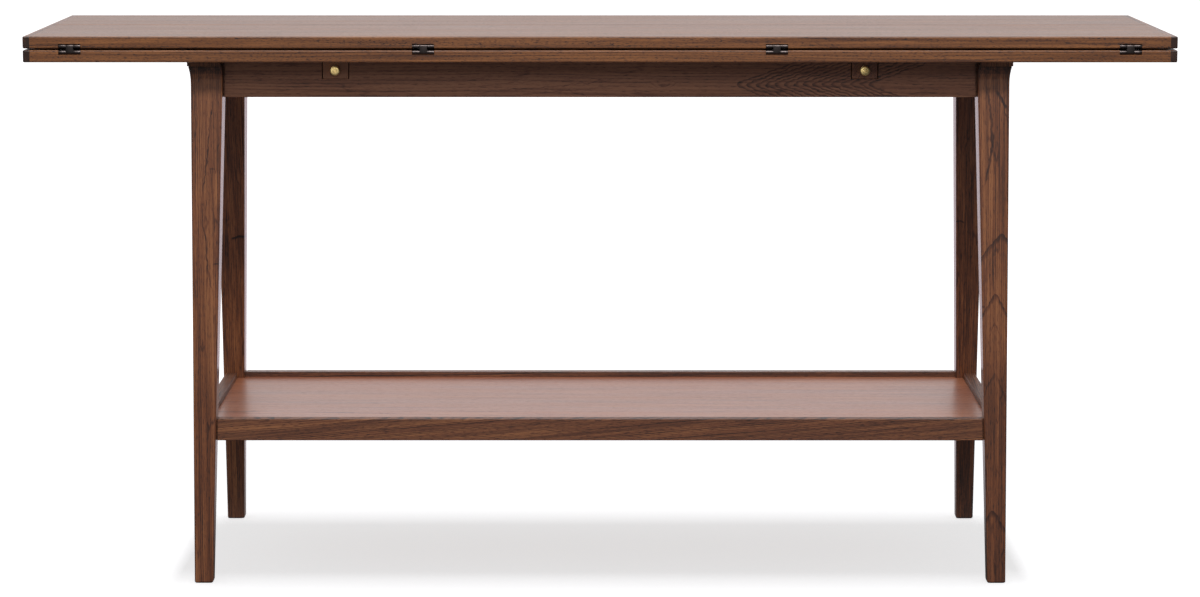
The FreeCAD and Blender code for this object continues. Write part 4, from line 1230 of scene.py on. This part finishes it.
@dataclass
class Studio:
    """A studio with a white backdrop behind the table, plain soft surroundings, seven lamps and the camera.

    Three lamps light the table from above and in front, and one its rear. Another lights the floor alone,
    and two cards lift the brass. The floor is white paper. To the eye it is lifted so that only the shelf's
    shadow shows on it.
    """

    focal_px: float = 3401.0
    camera_at: Place = (0.0035, -4.856, 1.0997)
    pitch_deg: float = 8.57
    yaw_deg: float = 0.044
    floor_m: float = 60.0
    white: str = "#ffffff"
    paper: str = "#e6e7ea"
    bounce: str = "#c8c8cb"
    dim: str = "#7b7b7e"
    near_lift: float = 0.64
    far_lift: float = 1.0
    near_m: float = 0.85
    far_m: float = 2.2
    backdrop_gloss: float = 1.05
    front_gloss: float = 0.12
    sky_tint: str = "#fafcff"
    sky_span: Pair = (-0.25, 0.35)
    floor_tint: str = "#ffeff8"
    floor_span: Pair = (-0.2, 1.2)
    plain_light: float = 0.27

    def build(self) -> None:
        """Builds the whole studio."""
        self._camera()
        floor = self._floor()
        self._world()
        nodes = frame["nodes"]
        over = Softbox("overhead_scrim", (0.0, 0.0, 2.9), (0.0, 0.0, 0.0), (3.4, 2.6), 48.0).hang()
        high = Softbox("front_high_softbox", (0.1, -2.0, 2.5), (0.1, 0.0, 0.45), (2.8, 0.4), 56.0).hang()
        low = Softbox("front_low_softbox", (0.15, -3.8, 2.4), (0.1, 0.0, 0.5), (3.2, 1.3), 37.0).hang()
        for lamp in (over, high, low):
            self._flag_off(lamp, floor)
        below = Softbox("floor_softbox", (0.0, 0.0, 3.6), (0.0, 0.0, 0.0), (0.3, 2.0), 46.0).hang()
        self._aim(below, [floor], [name for name in nodes if name.startswith("shelf")])
        card = Softbox("brass_card", (-1.0, -4.0, 0.75), (0.0, 0.0, 0.7), (3.0, 2.4), 27.0).hang()
        self._aim(card, [nodes[name] for name in nodes if name.endswith("knob")], ["front_apron"])
        rim = Softbox("brass_rim_card", (-2.6, -0.9, 2.5), (0.0, 0.0, 0.7), (1.5, 1.5), 95.0).hang()
        rim.light_linking.receiver_collection = card.light_linking.receiver_collection
        rim.light_linking.blocker_collection = card.light_linking.blocker_collection
        rear = Softbox("rear_softbox", (0.0, 3.8, 2.2), (0.0, 0.0, 0.45), (3.2, 1.3), 26.0).hang()
        behind = [name for name in nodes if name.startswith(("rear_", "shelf_rear")) and "leaf" not in name]
        self._aim(rear, [nodes[name] for name in behind], [])
        LOG.info("built the studio")

    def _camera(self) -> None:
        """Sets up the camera."""
        data = bpy.data.cameras.new("camera")
        data.sensor_fit = "HORIZONTAL"
        data.sensor_width = 36.0
        data.lens = self.focal_px / IMAGE_WIDTH * data.sensor_width
        data.clip_end = 200.0
        camera = bpy.data.objects.new("camera", data)
        camera.location = self.camera_at
        camera.rotation_euler = (math.radians(90.0 - self.pitch_deg), 0.0, math.radians(self.yaw_deg))
        bpy.context.scene.collection.objects.link(camera)
        bpy.context.scene.camera = camera
        bpy.context.scene.view_settings.view_transform = "Standard"

    def _gloss_share(
        self, add: Adder, path: bpy.types.Node, along: Feed, span: Pair
    ) -> tuple[bpy.types.Node, bpy.types.Node]:
        """Finds how much of the white backdrop gloss and glass see.

        Args:
            add: Adds nodes to the tree.
            path: The tree's Light Path node.
            along: A place or direction.
            span: The Y at which the backdrop starts to show, and that at which it shows fully.

        Returns:
            A node that is 1 for those rays, and one with the share, which is 0 for all other rays.
        """
        behind = add("MapRange", add("SeparateXYZ", along).outputs["Y"], *span, **SMOOTH)
        glossy, through = path.outputs["Is Glossy Ray"], path.outputs["Is Transmission Ray"]
        rays = add("Math", glossy, through, operation="MAXIMUM")
        return rays, add("Math", rays, behind, operation="MULTIPLY")

    def _floor(self) -> bpy.types.Object:
        """Lays the floor.

        Returns:
            The floor.
        """
        shape = bmesh.new()
        bmesh.ops.create_grid(shape, x_segments=1, y_segments=1, size=self.floor_m / 2)
        material, add = new_material("white_paper")
        path = add("LightPath")
        eye = path.outputs["Is Camera Ray"]
        place = add("TexCoord").outputs["Object"]
        tone = add("Mix", eye, linear(self.bounce), linear(self.paper), data_type="RGBA")
        away = add("VectorMath", place, operation="LENGTH")
        lift = add("MapRange", away, self.near_m, self.far_m, self.near_lift, self.far_lift, **SMOOTH)
        seen = add("Math", eye, lift, operation="MULTIPLY")
        rays, gloss = self._gloss_share(add, path, place, self.floor_span)
        matt = add("BsdfDiffuse", add("Mix", rays, tone, linear(self.dim), data_type="RGBA"))
        strength = add("Math", gloss, self.backdrop_gloss, seen, operation="MULTIPLY_ADD")
        tint = add("Mix", gloss, linear(self.white), linear(self.floor_tint), data_type="RGBA")
        add("OutputMaterial", add("AddShader", matt, add("Emission", tint, strength)))
        mesh = bpy.data.meshes.new("floor")
        shape.to_mesh(mesh)
        shape.free()
        mesh.materials.append(material)
        floor = bpy.data.objects.new("floor", mesh)
        bpy.context.scene.collection.objects.link(floor)
        return floor

    def _world(self) -> None:
        """Sets the surroundings: white to the eye, a backdrop to gloss, and a plain light on the table."""
        world = bpy.data.worlds.new("studio")
        world.use_nodes = True
        world.node_tree.nodes.clear()
        add = partial(add_node, world.node_tree)
        path = add("LightPath")
        rays, gloss = self._gloss_share(add, path, add("TexCoord").outputs["Generated"], self.sky_span)
        plain, dark, bright = self.plain_light, self.front_gloss, self.backdrop_gloss
        strength = add("Math", rays, dark - plain, plain, operation="MULTIPLY_ADD")
        strength = add("Math", gloss, bright - dark, strength, operation="MULTIPLY_ADD")
        strength = add("Math", strength, path.outputs["Is Camera Ray"], operation="MAXIMUM")
        tint = add("Mix", gloss, linear(self.white), linear(self.sky_tint), data_type="RGBA")
        add("OutputWorld", add("Background", tint, strength))
        bpy.context.scene.world = world

    def _flag_off(self, lamp: bpy.types.Object, floor: bpy.types.Object) -> None:
        """Keeps a lamp's light off the floor, as a flag in front of it would.

        Args:
            lamp: The lamp.
            floor: The floor.
        """
        flagged = bpy.data.collections.new(f"{lamp.name}_flag")
        flagged.objects.link(floor)
        flagged.collection_objects[0].light_linking.link_state = "EXCLUDE"
        lamp.light_linking.receiver_collection = flagged

    def _aim(self, lamp: bpy.types.Object, lit: Sequence[bpy.types.Object], shading: Sequence[str]) -> None:
        """Lets a lamp light only some things, with the shadows of only some nodes.

        Args:
            lamp: The lamp.
            lit: What it lights.
            shading: The nodes that shade it. Where there are none, all of them do.
        """
        lamp.light_linking.receiver_collection = bpy.data.collections.new(f"{lamp.name}_lit")
        for thing in lit:
            lamp.light_linking.receiver_collection.objects.link(thing)
        if shading:
            lamp.light_linking.blocker_collection = bpy.data.collections.new(f"{lamp.name}_shading")
            for node in shading:
                lamp.light_linking.blocker_collection.objects.link(frame["nodes"][node])


def main() -> None:
    """Builds the studio and dresses the table."""
    logging.basicConfig(level=logging.INFO, format="%(name)s: %(message)s")
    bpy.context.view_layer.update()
    builders: tuple[tuple[str, Callable[[], None]], ...] = (
        ("studio", Studio().build),
        ("woodwork", Woodwork().dress),
        ("knobs", Knobs().build),
        ("screws", Screws().build),
        ("hinges", Hinges().build),
    )
    for name, build in builders:
        build()
        LOG.info("%s done", name)
    wear("bumper_pads", RUBBER.dress("bumper_pads"))


if __name__ == "__main__":
    main()
